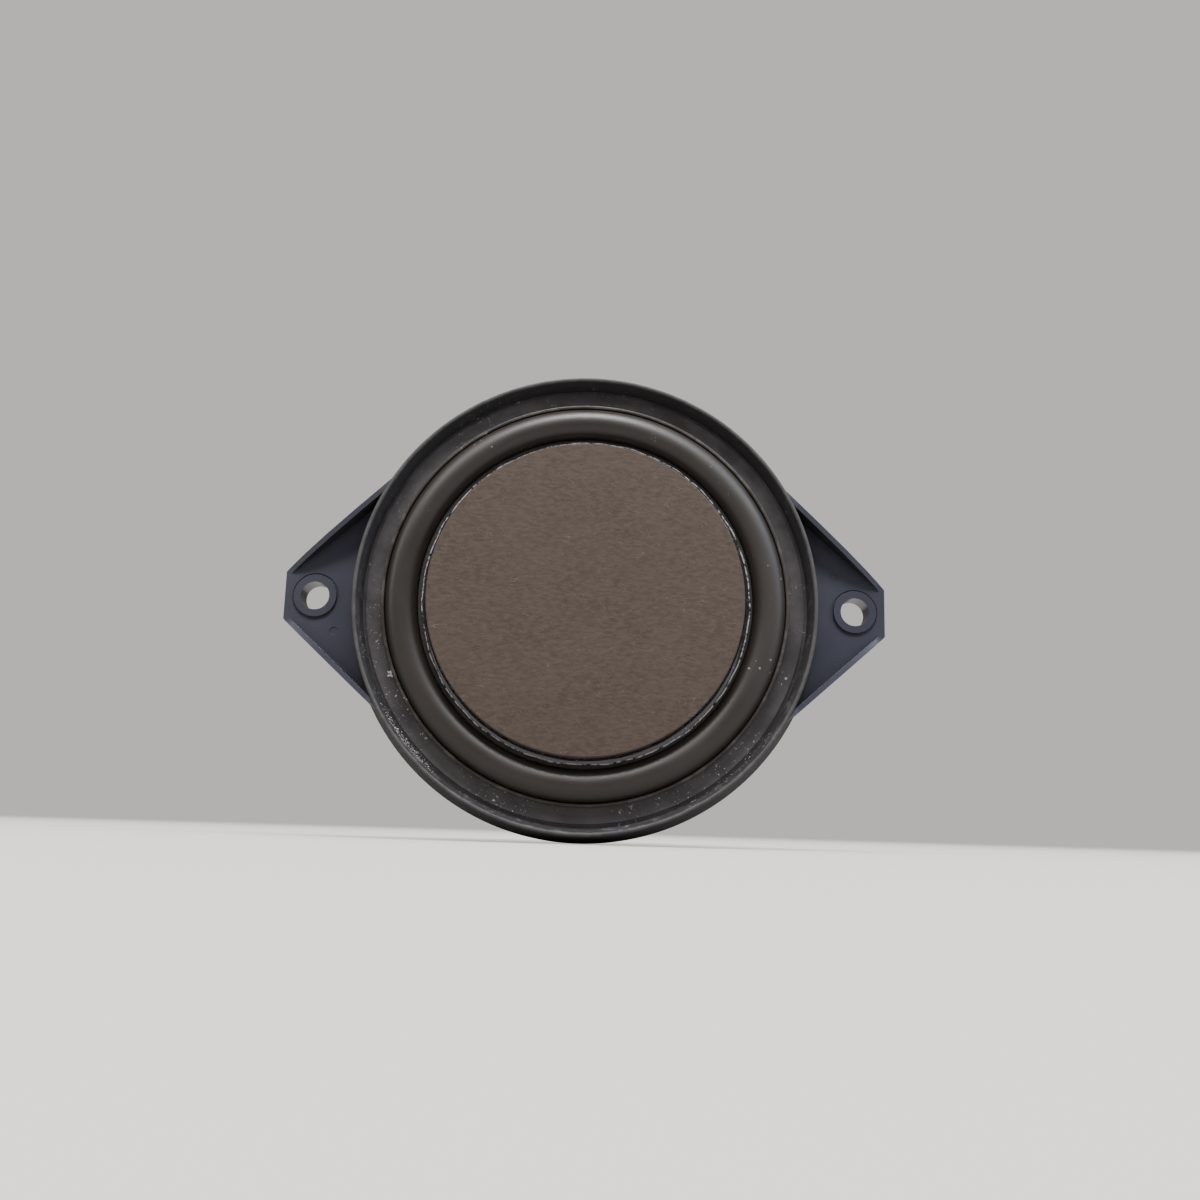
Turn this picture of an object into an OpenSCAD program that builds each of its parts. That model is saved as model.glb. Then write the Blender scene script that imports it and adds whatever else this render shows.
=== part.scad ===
// Small car door speaker, 87 mm class: a plastic frame with two screw ears, a rubber edge,
// a flat disc diaphragm and a ferrite ring motor. Millimetres.
// Every piece is drawn with the speaker's axis along +Z and its face up, then turned
// so that the face looks along -Y, the ears lie along X and +Z is up.
// Height 0 is the plane that the two ear bosses sit on.

/* [Ring] */
// Outer diameter of the rim's front edge
rim_d = 86; // [84:0.5:88]
// Widest diameter of the ring, near its back
ring_d = 88.6; // [88:0.1:90]
// Wall thickness of the rim at its front edge
rim_w = 0.75; // [0.6:0.05:1]
// Height of the rim's front edge above the mounting plane
rim_front = 9.8; // [9.4:0.1:10.4]
// Height of the ring's back face
ring_back = 2.0; // [1.6:0.1:2.2]
// Height of the flat land that carries the rubber edge
land_z = 6.8; // [6.6:0.1:7]
// Outer diameter of the land, where the dust groove starts
land_d = 81.6; // [81:0.1:82]
// Width of the dust groove
groove_w = 0.7; // [0.5:0.05:0.75]
// Depth of the dust groove
groove_deep = 0.6; // [0.4:0.1:1]

/* [Ears] */
// Distance between the two screw holes
hole_pitch = 101.6; // [101:0.1:102.2]
// Diameter of each screw hole
hole_d = 5.3; // [4.8:0.1:5.6]
// Diameter of the boss around each hole
boss_d = 8.0; // [7.8:0.1:8.6]
// Height of the boss's front face
boss_front = 4.85; // [4.7:0.05:5.2]
// Distance from the axis to the flat end of each ear
ear_reach = 56.5; // [56:0.1:57.5]
// Length of the flat end of each ear
ear_tip = 9.0; // [8.8:0.1:10]
// Angle from the ear line to where an ear's edge meets the rim
ear_join = 30.3; // [29:0.1:31.5]
// Height of the ear plate's front face
ear_front = 4.4; // [4.2:0.1:4.6]
// Thickness of the ribs along the ears' slanted edges
ear_rib = 0.9; // [0.8:0.1:1.2]

/* [Frame] */
// Number of windows in the frame's conical wall
windows = 12; // [12]
// Angle that each window opens
window_angle = 17.8; // [15:0.1:18.5]
// Wall thickness of the conical frame
frame_wall = 2.0; // [1.8:0.1:2.2]
// Depth of the floor that the motor is screwed to, below the mounting plane
floor_z = -11.8; // [-12:0.1:-11.6]

/* [Diaphragm] */
// Diameter of the flat disc
disc_d = 58.4; // [58:0.1:59]
// Height of the disc's front face
disc_front = 11.9; // [11.5:0.1:12.3]
// Thickness of the disc's paper
disc_t = 0.4; // [0.3:0.05:0.6]
// Outer diameter of the glue bead around the disc
bead_d = 61.6; // [61.4:0.1:61.8]
// Diameter of the rubber edge's outer lip
lip_d = 75.7; // [75.5:0.1:76]
// Height of the rubber edge's outer lip
lip_front = 8.6; // [8.4:0.1:8.8]
// Height of the half roll above its roots
roll_high = 2.6; // [2:0.1:2.8]

/* [Motor] */
// Diameter of the pole
pole_d = 24.9; // [24.8:0.1:25]
// Diameter of the hole in the top plate
gap_d = 28.0; // [27.9:0.1:28.2]
// Diameter of the ferrite ring
magnet_d = 55; // [54:0.5:56]
// Thickness of the ferrite ring
magnet_t = 10; // [9:0.5:11]
// Diameter of the steel plates
plate_d = 54; // [53:0.5:55]
// Thickness of each steel plate
plate_t = 4; // [3.5:0.5:4.5]

/* [Hidden] */
$fn = 96;
cut = 1;                 // how far a cutter runs past the face it opens
touch = 0.02;            // gap left between a flexible lead and what it is fixed to

rim_r = rim_d / 2;
ring_r = ring_d / 2;
land_r = land_d / 2;
disc_r = disc_d / 2;
bead_r = bead_d / 2;
lip_r = lip_d / 2;
hole_x = hole_pitch / 2;

// The frame's inside: a straight throat, a conical wall, the spider's ledge and a well.
throat_r = 35.6;
wall_top = [38.6, ring_back];
wall_foot = [28.0, -7.5];
wall_run = wall_top - wall_foot;
wall_dir = wall_run / norm(wall_run);
wall_in = frame_wall * [-wall_dir[1], wall_dir[0]];
window_span = [3.8, 11.6];   // where a window starts and ends, measured along the wall from its foot
pockets = 24;
pocket_rib = 2;              // degrees that stay solid between two pockets
pocket_r = [39.9, 42.2];
pocket_deep = 3.2;
ledge_z = -4.65;
ledge_t = 1.55;
ledge_r = 22.2;
well_r = 23.6;
floor_t = 1.9;
floor_hole_r = 15.5;
function wall_inner_r(z) = wall_foot[0] + wall_in[0]
    + (z - wall_foot[1] - wall_in[1]) * wall_run[0] / wall_run[1];
function wall_inner_z(r) = wall_foot[1] + wall_in[1]
    + (r - wall_foot[0] - wall_in[0]) * wall_run[1] / wall_run[0];

// The cone: a flat lip, a straight flank and a short neck on the coil former.
cone_t = 0.4;
lip_under = 7.9;
cone_lip_r = [28.2, 31.0];
neck_z = -2.0;
neck_end = -3.5;
former_r = [12.8, 13.05];
former_top = -1.5;
coil_r = 13.6;
coil_h = 6;
coil_mid = floor_z - plate_t / 2;
coil_low = coil_mid - coil_h / 2;

// The rubber edge: an inner land under the cone's lip, the half roll and the thick outer lip.
rubber_t = 0.5;
roll_in = 31.3;
roll_out = 36.9;
roll_mid = (roll_in + roll_out) / 2;
roll_half = (roll_out - roll_in) / 2;
roll_root = lip_under - rubber_t;
lip_inner_r = 36.4;

// The spider: a cloth disc pressed into rings.
spider_t = 0.35;
spider_in = 14.4;
spider_out = 22.0;
spider_waves = 5;
spider_high = 0.55;
spider_edge = 25.4;

magnet_top = floor_z - plate_t;
magnet_low = magnet_top - magnet_t;
yoke_low = magnet_low - plate_t;
magnet_hole_r = 16.5;
edge_break = 0.6;

screw_ring = 19.5;
screw_r = 1.45;
screw_head_r = 2.6;
screw_head_h = 1.7;
screw_hole_r = 1.6;
plate_hole_r = 1.5;
screw_grip = 3;          // how far a motor screw reaches into the top plate
screw_angles = [45, 135, 225, 315];

// The terminal board, behind the spoke at the top of the frame.
board = [17, 7.2, 1.6];
board_y = 34;
board_front = -5.6;
blade_x = 5.2;
blade_t = 0.8;
blade_w = [4.8, 2.8];    // the plus blade is the wide one
tail_w = 2.2;
tail_top = -3.6;
blade_tip = -15.2;
lead_r = 0.5;
dab_r = 1.7;
dab_h = 0.9;
dab_y = 20.2;
board_post_r = 2.4;
board_rivet_r = 1.2;

// Turns a piece that was drawn with its axis along +Z so that its face looks along -Y.
module facing_front() rotate([90, 0, 0]) children();

// A ring whose cross-section is a list of [radius, height] points.
module turned(outline) rotate_extrude() polygon(outline);

module ring_and_frame() {
    rim_in = rim_r - rim_w;
    groove_out = land_r + groove_w;
    turned([
        [throat_r, land_z], [land_r, land_z], [land_r, land_z - groove_deep],
        [groove_out - 0.05, land_z - groove_deep], [groove_out + 0.1, land_z - 0.1],
        [rim_in, rim_front - 0.25], [rim_in + 0.12, rim_front - 0.06], [rim_in + 0.25, rim_front],
        [rim_r - 0.25, rim_front], [rim_r - 0.1, rim_front - 0.06], [rim_r, rim_front - 0.25],
        [ring_r, ring_back + 0.8], [ring_r - 0.1, ring_back + 0.3], [ring_r - 0.4, ring_back],
        wall_top, wall_foot, [wall_foot[0], floor_z], [floor_hole_r, floor_z],
        [floor_hole_r, floor_z + floor_t], [well_r, floor_z + floor_t],
        [well_r, ledge_z - ledge_t], [ledge_r, ledge_z - ledge_t], [ledge_r, ledge_z],
        [wall_inner_r(ledge_z), ledge_z], [throat_r, wall_inner_z(throat_r)]]);
}

// One window through the conical wall, as wide as window_angle.
module frame_window() {
    low = wall_foot + window_span[0] * wall_dir;
    high = wall_foot + window_span[1] * wall_dir;
    past_in = wall_in * 1.4;
    past_out = -wall_in * 0.8;
    rotate([0, 0, -window_angle / 2])
        rotate_extrude(angle = window_angle)
            polygon([low + past_out, high + past_out, high + past_in, low + past_in]);
}

// One pocket of the hollow under the ring, between two radial ribs.
module ring_pocket(angle) {
    rotate([0, 0, -angle / 2])
        rotate_extrude(angle = angle)
            translate([pocket_r[0], ring_back - cut])
                square([pocket_r[1] - pocket_r[0], pocket_deep + cut]);
}

// The rib along one slanted ear edge: level with the rim at the ring, low at the ear's end.
module ear_edge_rib() {
    tip = [ear_reach, ear_tip / 2];
    join = rim_r * [cos(ear_join), sin(ear_join)];
    run = join - tip;
    long = norm(run);
    into_rim = long + 1.5;
    foot = ring_back;
    proud = 0.05;        // the rib covers the plate's own edge
    high = rim_front - 0.3 - ear_front;
    translate([tip[0], tip[1], 0])
        rotate([0, 0, atan2(run[1], run[0])])
            rotate([90, 0, 0])
                translate([0, 0, -ear_rib])
                    linear_extrude(ear_rib + proud)
                        polygon([[0, foot], [into_rim, foot], [into_rim, ear_front + high],
                                 [long * 0.35, ear_front + high * 0.55],
                                 [long * 0.12, ear_front + high * 0.26], [0.3, ear_front]]);
}

// One ear, on the +X side: plate, boss and two edge ribs.
module ear() {
    join = rim_r * [cos(ear_join), sin(ear_join)];
    difference() {
        union() {
            translate([0, 0, ring_back])
                linear_extrude(ear_front - ring_back)
                    polygon([[ear_reach, -ear_tip / 2], [ear_reach, ear_tip / 2], join,
                             [join[0] - 1, join[1] - 1], [join[0] - 1, 1 - join[1]],
                             [join[0], -join[1]]]);
            ear_edge_rib();
            mirror([0, 1, 0]) ear_edge_rib();
            translate([hole_x, 0, 0]) cylinder(h = boss_front, d = boss_d);
        }
        translate([0, 0, land_z - 0.4]) cylinder(h = rim_front, r = rim_r - rim_w + 0.1);
        translate([hole_x, 0, -cut]) cylinder(h = boss_front + 2 * cut, d = hole_d);
        translate([hole_x, 0, 0]) turned([[boss_d / 2, ear_front - 0.2], [boss_d / 2 + 0.35, ear_front - 0.2],
                 [boss_d / 2 + 0.35, ear_front + cut], [boss_d / 2, ear_front + cut]]);
    }
}

// The post behind the top spoke that the terminal board is riveted to.
module board_post() {
    inside = wall_in * 0.6;
    difference() {
        translate([0, board_y, board_front]) cylinder(h = -board_front + 1, r = board_post_r);
        turned([[0, wall_foot[1] + inside[1]], wall_foot + inside, wall_top + inside,
                [0, wall_top[1] + inside[1]]]);
    }
}

// The single plastic moulding: ring, rim, ears, windowed frame and motor floor.
module basket() {
    pitch = 360 / pockets;
    beside_ear = ear_join + 6;   // the ring stays solid from the ear line to this angle
    rivet_hole = 2.6;
    color([0.13, 0.13, 0.14]) facing_front() {
        difference() {
            union() {
                difference() {
                    ring_and_frame();
                    for (i = [0 : windows - 1])
                        rotate([0, 0, (i + 0.5) * 360 / windows]) frame_window();
                    for (i = [0 : pockets - 1])
                        if (abs(sin(i * pitch)) > sin(beside_ear))
                            rotate([0, 0, i * pitch]) ring_pocket(pitch - pocket_rib);
                }
                ear();
                mirror([1, 0, 0]) ear();
                board_post();
            }
            for (a = screw_angles)
                rotate([0, 0, a]) translate([screw_ring, 0, floor_z - cut])
                    cylinder(h = floor_t + 2 * cut, r = screw_hole_r);
            translate([0, board_y, board_front - cut])
                cylinder(h = rivet_hole + cut, r = board_rivet_r);
        }
    }
}

// The rubber half roll that seals the diaphragm to the ring.
module surround() {
    steps = 20;
    outer = [for (i = [0 : steps]) let (a = 180 - 180 * i / steps)
        [roll_mid + (roll_half + rubber_t / 2) * cos(a),
         roll_root + rubber_t / 2 + roll_high * sin(a)]];
    inner = [for (i = [0 : steps]) let (a = 180 * i / steps)
        [roll_mid + (roll_half - rubber_t / 2) * cos(a),
         roll_root + (roll_high - rubber_t / 2) * sin(a)]];
    color([0.17, 0.16, 0.16]) facing_front()
        turned(concat(
            [[29.6, roll_root], [29.6, lip_under], [cone_lip_r[1] + 0.05, lip_under]],
            outer,
            [[lip_inner_r + 0.75, lip_front - 0.7], [lip_inner_r + 0.8, lip_front - 0.1],
             [lip_inner_r + 0.9, lip_front], [lip_r - 0.15, lip_front], [lip_r, lip_front - 0.15],
             [lip_r, land_z], [lip_inner_r - 0.4, land_z], [lip_inner_r - 0.4, roll_root]],
            inner));
}

// The flat paper disc, with its edge turned down to the cone's lip.
module front_disc() {
    foot = lip_under + cone_t;
    color([0.39, 0.35, 0.32]) facing_front()
        turned([[0, disc_front], [disc_r - 0.2, disc_front], [disc_r, disc_front - 0.2],
                [disc_r - 0.15, foot], [disc_r - 0.15 - disc_t, foot],
                [disc_r - 0.1 - disc_t, disc_front - disc_t], [0, disc_front - disc_t]]);
}

// The bead of glue around the foot of the disc.
module glue_bead() {
    foot = lip_under + cone_t;
    inner = disc_r - 0.14;
    steps = 8;
    color([0.08, 0.07, 0.08]) facing_front()
        turned(concat([[inner, foot], [bead_r, foot]],
            [for (i = [0 : steps]) let (a = 180 * i / steps)
                [(inner + bead_r) / 2 + (bead_r - inner) / 2 * cos(a), foot + 0.05 + 0.65 * sin(a)]]));
}

// The paper cone behind the disc.
module cone() {
    neck = former_r[1] + 0.02;
    color([0.12, 0.11, 0.1]) facing_front()
        turned([[cone_lip_r[1], lip_under + cone_t - 0.01], [cone_lip_r[0], lip_under + cone_t - 0.01],
                [neck + cone_t, neck_z + 0.45], [neck, neck_z + 0.45], [neck, neck_end],
                [neck + cone_t, neck_end], [neck + cone_t, neck_z],
                [cone_lip_r[0] + 0.25, lip_under + 0.01], [cone_lip_r[1], lip_under + 0.01]]);
}

module coil_former()
    color([0.72, 0.6, 0.35]) facing_front()
        turned([[former_r[0], coil_low], [former_r[1], coil_low],
                [former_r[1], former_top], [former_r[0], former_top]]);

// The winding, in two layers on the former.
module voice_coil()
    color([0.75, 0.4, 0.2]) facing_front()
        turned([[former_r[1] + 0.01, coil_low], [coil_r, coil_low],
                [coil_r, coil_low + coil_h], [former_r[1] + 0.01, coil_low + coil_h]]);

// The fillet of glue that joins cone, spider and former.
module neck_glue() {
    low = ledge_z + spider_t + 0.12;
    color([0.1, 0.09, 0.09]) facing_front()
        turned([[former_r[1] + 0.01, low], [former_r[1] + 1.1, low],
                [former_r[1] + 0.6, neck_end - 0.02], [former_r[1] + 0.01, neck_end - 0.02]]);
}

// The corrugated cloth disc that centres the coil.
module spider() {
    steps = spider_waves * 8;
    mid = ledge_z + 0.1 + spider_t / 2;
    function wave(i, side) = let (r = spider_in + (spider_out - spider_in) * i / steps)
        [r, mid + side * spider_t / 2 + spider_high * sin(360 * spider_waves * i / steps)];
    color([0.85, 0.68, 0.3]) facing_front()
        turned(concat(
            [[former_r[1] + 0.01, mid - spider_t / 2], [former_r[1] + 0.01, mid + spider_t / 2]],
            [for (i = [0 : steps]) wave(i, 1)],
            [[spider_edge, mid + spider_t / 2], [spider_edge, ledge_z + 0.01],
             [spider_out + 0.2, ledge_z + 0.01]],
            [for (i = [steps : -1 : 0]) wave(i, -1)]));
}

// A flat ring with broken edges.
module plate_ring(low, thick, hole_r, outer_r)
    turned([[hole_r, low], [outer_r - edge_break, low], [outer_r, low + edge_break],
            [outer_r, low + thick - edge_break], [outer_r - edge_break, low + thick],
            [hole_r, low + thick]]);

// The steel plate in front of the magnet.
module top_plate()
    color([0.62, 0.63, 0.64]) facing_front()
        difference() {
            plate_ring(magnet_top, plate_t, gap_d / 2, plate_d / 2);
            for (a = screw_angles)
                rotate([0, 0, a]) translate([screw_ring, 0, floor_z - screw_grip - 0.2])
                    cylinder(h = screw_grip + 0.2 + cut, r = plate_hole_r);
        }

// The ferrite ring.
module magnet()
    color([0.2, 0.2, 0.21]) facing_front()
        plate_ring(magnet_low, magnet_t, magnet_hole_r, magnet_d / 2);

// The back plate and the pole, forged in one piece.
module yoke() {
    pole_r = pole_d / 2;
    plate_r = plate_d / 2;
    dimple = 3;
    color([0.62, 0.63, 0.64]) facing_front()
        turned([[0, yoke_low + 0.8], [dimple - 0.8, yoke_low + 0.8], [dimple, yoke_low],
                [plate_r - edge_break, yoke_low], [plate_r, yoke_low + edge_break],
                [plate_r, magnet_low - edge_break], [plate_r - edge_break, magnet_low],
                [pole_r + 1.2, magnet_low], [pole_r, magnet_low + 1.2], [pole_r, floor_z - 0.4],
                [pole_r - 0.4, floor_z], [0, floor_z]]);
}

// One pan-head screw with a cross recess, its head's seat at height 0.
module pan_screw() {
    recess = [2.6, 0.7, 1];
    difference() {
        union() {
            turned([[0, 0], [screw_head_r, 0], [screw_head_r, screw_head_h * 0.55],
                    [screw_head_r * 0.85, screw_head_h * 0.85], [screw_head_r * 0.5, screw_head_h],
                    [0, screw_head_h]]);
            translate([0, 0, -floor_t - screw_grip]) cylinder(h = floor_t + screw_grip + 0.5, r = screw_r);
        }
        for (a = [0, 90])
            rotate([0, 0, a]) translate([0, 0, screw_head_h]) cube(recess, center = true);
    }
}

// The four screws that hold the motor to the frame's floor.
module motor_screws()
    color([0.55, 0.55, 0.52]) facing_front()
        for (a = screw_angles)
            rotate([0, 0, a]) translate([screw_ring, 0, floor_z + floor_t]) pan_screw();

// The moulded board that holds the two blades.
module terminal_board()
    color([0.16, 0.15, 0.14]) facing_front()
        difference() {
            translate([-board[0] / 2, board_y - board[1] / 2, board_front - board[2]]) cube(board);
            for (side = [0, 1])
                translate([(1 - 2 * side) * blade_x, board_y, board_front - board[2] / 2])
                    cube([blade_w[side] + 0.04, blade_t + 0.04, board[2] + 2 * cut], center = true);
            translate([0, board_y, board_front - board[2] - cut])
                cylinder(h = board[2] + 2 * cut, r = board_rivet_r + 0.1);
        }

// The rivet that fixes the board to its post.
module board_rivet()
    color([0.7, 0.65, 0.5]) facing_front() {
        low = board_front - board[2];
        translate([0, board_y, low - 0.9]) cylinder(h = 0.9, r1 = 1.6, r2 = 2.1);
        translate([0, board_y, low]) cylinder(h = board[2] + 2.2, r = board_rivet_r - 0.02);
    }

// One flat blade through the board, with a narrow tail for the lead.
module blade(width) {
    collar = board_front + 0.7;
    translate([0, board_y, 0]) rotate([90, 0, 0])
        linear_extrude(blade_t, center = true)
            polygon([[-width / 2, blade_tip + 0.8], [-width / 2 + 0.7, blade_tip],
                     [width / 2 - 0.7, blade_tip], [width / 2, blade_tip + 0.8],
                     [width / 2, collar], [tail_w / 2, collar], [tail_w / 2, tail_top],
                     [-tail_w / 2, tail_top], [-tail_w / 2, collar], [-width / 2, collar]]);
}

module terminal_plus()
    color([0.78, 0.7, 0.45]) facing_front() translate([blade_x, 0, 0]) blade(blade_w[0]);

module terminal_minus()
    color([0.78, 0.7, 0.45]) facing_front() translate([-blade_x, 0, 0]) blade(blade_w[1]);

// The lead hangs in a shallow arc between two points of the plane x = const, given as [y, z].
function lead_from() = [dab_y + 0.9, cone_back_z(norm([blade_x, dab_y])) - dab_h - 0.3];
function lead_to() = [board_y - blade_t / 2 - lead_r - 0.35, tail_top - 0.4];
function cone_back_z(r) = neck_z + (r - former_r[1] - cone_t - 0.02)
    * (lip_under - neck_z) / (cone_lip_r[0] + 0.25 - former_r[1] - cone_t - 0.02);

module lead() {
    p = lead_from();
    q = lead_to();
    chord = norm(q - p);
    sag = 0.6;
    bend = (chord * chord / 4 + sag * sag) / (2 * sag);
    lean = atan2(q[1] - p[1], q[0] - p[0]);
    half = asin(chord / 2 / bend);
    rotate([90, 0, 90])
        translate([(p[0] + q[0]) / 2, (p[1] + q[1]) / 2, 0])
            rotate([0, 0, lean]) translate([0, bend - sag, 0])
                rotate([0, 0, -90 - half]) rotate_extrude(angle = 2 * half)
                    translate([bend, 0]) circle(r = lead_r, $fn = 24);
}

module lead_plus()
    color([0.75, 0.5, 0.3]) facing_front() translate([blade_x, 0, 0]) lead();

module lead_minus()
    color([0.75, 0.5, 0.3]) facing_front() translate([-blade_x, 0, 0]) lead();

// The two dabs of glue that fix the leads to the back of the cone.
module lead_glue() {
    tilt = atan2(lip_under - neck_z, cone_lip_r[0] - former_r[1]);
    color([0.08, 0.07, 0.07]) facing_front()
        for (side = [-1, 1])
            translate([side * blade_x, dab_y, cone_back_z(norm([blade_x, dab_y])) - 0.12])
                rotate([0, 0, -atan2(side * blade_x, dab_y)])
                    rotate([180 + tilt, 0, 0])
                        cylinder(h = dab_h, r1 = dab_r, r2 = dab_r * 0.6);
}

// The solder that joins each lead to its blade's tail.
module solder_joints()
    color([0.7, 0.7, 0.72]) facing_front()
        for (side = [-1, 1])
            translate([side * blade_x, board_y - blade_t / 2 - touch, tail_top - 0.75])
                rotate([90, 0, 0]) cylinder(h = 0.35, r1 = 0.75, r2 = 0.55);

basket();
surround();
front_disc();
glue_bead();
cone();
coil_former();
voice_coil();
neck_glue();
spider();
top_plate();
magnet();
yoke();
motor_screws();
terminal_board();
board_rivet();
terminal_plus();
terminal_minus();
lead_plus();
lead_minus();
lead_glue();
solder_joints();
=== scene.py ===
# %% [markdown]
# # A small car speaker
# This notebook dresses a loudspeaker driver that is already designed in CAD. The CAD model is the
# frame: it says where every piece is. Here each visible piece is modelled again with fine
# edges, and every piece gets its finish. The speaker's axis lies along Y and its face looks
# towards -Y, so a height h of the drawing is y = -h here. The helpers take millimetres.

# %% Load the frame
import math
import random
import bmesh
import bpy
from mathutils import Matrix, Vector
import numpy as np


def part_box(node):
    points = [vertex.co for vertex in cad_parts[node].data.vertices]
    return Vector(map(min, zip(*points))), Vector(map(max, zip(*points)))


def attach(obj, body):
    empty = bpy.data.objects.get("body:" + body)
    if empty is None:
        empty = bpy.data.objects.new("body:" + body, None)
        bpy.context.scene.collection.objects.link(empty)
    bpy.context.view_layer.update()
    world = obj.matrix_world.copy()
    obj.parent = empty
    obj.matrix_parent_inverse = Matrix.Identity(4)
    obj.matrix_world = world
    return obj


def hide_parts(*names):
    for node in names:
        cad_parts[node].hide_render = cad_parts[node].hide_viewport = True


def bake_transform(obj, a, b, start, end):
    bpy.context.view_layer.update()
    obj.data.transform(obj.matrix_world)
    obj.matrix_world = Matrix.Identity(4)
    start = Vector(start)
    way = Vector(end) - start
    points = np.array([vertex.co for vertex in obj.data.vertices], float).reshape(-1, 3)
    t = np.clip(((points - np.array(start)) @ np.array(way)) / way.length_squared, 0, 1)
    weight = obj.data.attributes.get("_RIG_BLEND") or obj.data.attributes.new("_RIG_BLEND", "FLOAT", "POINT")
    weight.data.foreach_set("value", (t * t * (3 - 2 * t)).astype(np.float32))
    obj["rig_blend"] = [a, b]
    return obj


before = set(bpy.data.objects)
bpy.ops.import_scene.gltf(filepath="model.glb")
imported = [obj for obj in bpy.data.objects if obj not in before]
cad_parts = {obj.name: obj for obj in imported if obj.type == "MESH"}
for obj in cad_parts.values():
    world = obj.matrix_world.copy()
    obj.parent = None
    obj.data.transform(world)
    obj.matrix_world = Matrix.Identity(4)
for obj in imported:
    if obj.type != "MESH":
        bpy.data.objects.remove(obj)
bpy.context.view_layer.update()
MM = 0.001
RING_LOW, RING_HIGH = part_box("basket")

# %% [markdown]
# ## The camera
# The camera comes first, because everything else is judged through it. It stands about 22 cm in
# front of the speaker and lower than its axis, so it looks up by 11 degrees and sees the inside
# of the rim at the top and the outside of the ring at the bottom. A mild wide lens at a short
# distance gives the same perspective as a phone held close.

# %% Camera
CAMERA_PLACE = Vector((0.65, -226.1, -42.0)) * MM
CAMERA_TURN = [math.radians(a) for a in (100.953, -1.659, -0.855)]
bpy.ops.object.camera_add(location=CAMERA_PLACE, rotation=CAMERA_TURN)
camera = bpy.context.object
camera.data.lens = 35.91
camera.data.sensor_width = 36
camera.data.clip_start = 0.001
bpy.context.scene.camera = camera
print("camera stands", round(CAMERA_PLACE.length / MM), "mm from the speaker's centre")

# %% [markdown]
# ## The floor and the light
# The speaker stands on its ring on a plain pale floor in a plain pale room. One soft lamp
# high in front does most of the work: it throws the ribs' soft shadows down on the ears, and two
# weaker ones beside it round the shapes off. A panel overhead draws the broad band on the rubber
# roll, and two tall lamps at the sides put thin glints in the glue. Floor and room are paler to the
# eye than in the light they give, or they would fill the shadows and black plastic would look grey.

# %% Floor and room
def seen_and_given(tree, socket, seen, given):
    """Sets a glow to one strength where it is seen directly and another where it gives light."""
    direct = tree.nodes.new("ShaderNodeLightPath").outputs["Is Camera Ray"]
    strength = tree.nodes.new("ShaderNodeMapRange")
    strength.inputs["To Min"].default_value = given
    strength.inputs["To Max"].default_value = seen
    tree.links.new(direct, strength.inputs["Value"])
    tree.links.new(strength.outputs["Result"], socket)


PALE_PAINT = (0.36, 0.34, 0.325, 1)
FLOOR_GAP = 0.1                       # the floor lies this far below the ring, in millimetres
bpy.ops.mesh.primitive_plane_add(size=8, location=(0, 0, RING_LOW.z - FLOOR_GAP * MM))
floor = bpy.context.object
floor.name = "floor"
paint = bpy.data.materials.new("pale floor paint")
paint.use_nodes = True
shader = paint.node_tree.nodes["Principled BSDF"]
shader.inputs["Roughness"].default_value = 0.9
shader.inputs["Specular IOR Level"].default_value = 0.1
shader.inputs["Base Color"].default_value = PALE_PAINT
shader.inputs["Emission Color"].default_value = PALE_PAINT
seen_and_given(paint.node_tree, shader.inputs["Emission Strength"], 1.6, 0)
floor.data.materials.append(paint)
world = bpy.data.worlds.new("plain room")
world.use_nodes = True
air = world.node_tree.nodes["Background"]
air.inputs["Color"].default_value = (0.5, 0.475, 0.455, 1)
seen_and_given(world.node_tree, air.inputs["Strength"], 1.25, 0.4)
bpy.context.scene.world = world
print("the floor is at z =", round(floor.location.z / MM, 1), "mm")

# %% [markdown]
# ### Lamps
# Soft lamps are area lamps: the larger the panel, the softer its shadow and the wider its
# highlight. Each one is aimed at the speaker, so only its place, size and power have to be said.

# %% Lamps
def soft_lamp(name, place, size, power, tint=(1, 1, 1)):
    """An area lamp of size (width, height) in metres that looks at the speaker."""
    bpy.ops.object.light_add(type="AREA", location=place)
    lamp = bpy.context.object
    lamp.name = name
    lamp.rotation_euler = (-Vector(place)).to_track_quat("-Z", "Y").to_euler()
    lamp.data.shape = "RECTANGLE"
    lamp.data.size, lamp.data.size_y = size
    lamp.data.energy = power
    lamp.data.color = tint


soft_lamp("front top", (0.02, -0.5, 0.92), (0.5, 0.22), 17)
soft_lamp("front left", (-0.5, -0.6, 0.75), (0.32, 0.25), 4.5)
soft_lamp("front right", (0.55, -0.6, 0.72), (0.3, 0.25), 4.5, (0.9, 0.94, 1))
soft_lamp("overhead", (0, 0.15, 1.0), (1.4, 0.6), 10)
soft_lamp("right glint", (0.8, -0.3, 0.5), (0.12, 0.8), 6, (0.75, 0.85, 1))
soft_lamp("left glint", (-0.8, -0.3, 0.4), (0.1, 0.6), 2)

# %% [markdown]
# ## Tools for turned pieces
# Most of a speaker is turned: a cross-section carried once round the axis. The outline is drawn
# by extruding one vertex from point to point and is then spun, as on a lathe. Corners are left
# sharp in the outline, and a bevel modifier breaks them all by the same small amount at the end.
# Bevelling the outline itself would also work, but each corner would have to be picked by hand.

# %% Lathe
SPIN_STEPS = 180
FINE_STEPS = 240                      # for the large rings, where a coarse edge would show
SHARP_FROM = 35                       # corners bent by more degrees than this are bevelled


def deselect_all():
    if bpy.context.object and bpy.context.object.mode != "OBJECT":
        bpy.ops.object.mode_set(mode="OBJECT")
    bpy.ops.object.select_all(action="DESELECT")


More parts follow.
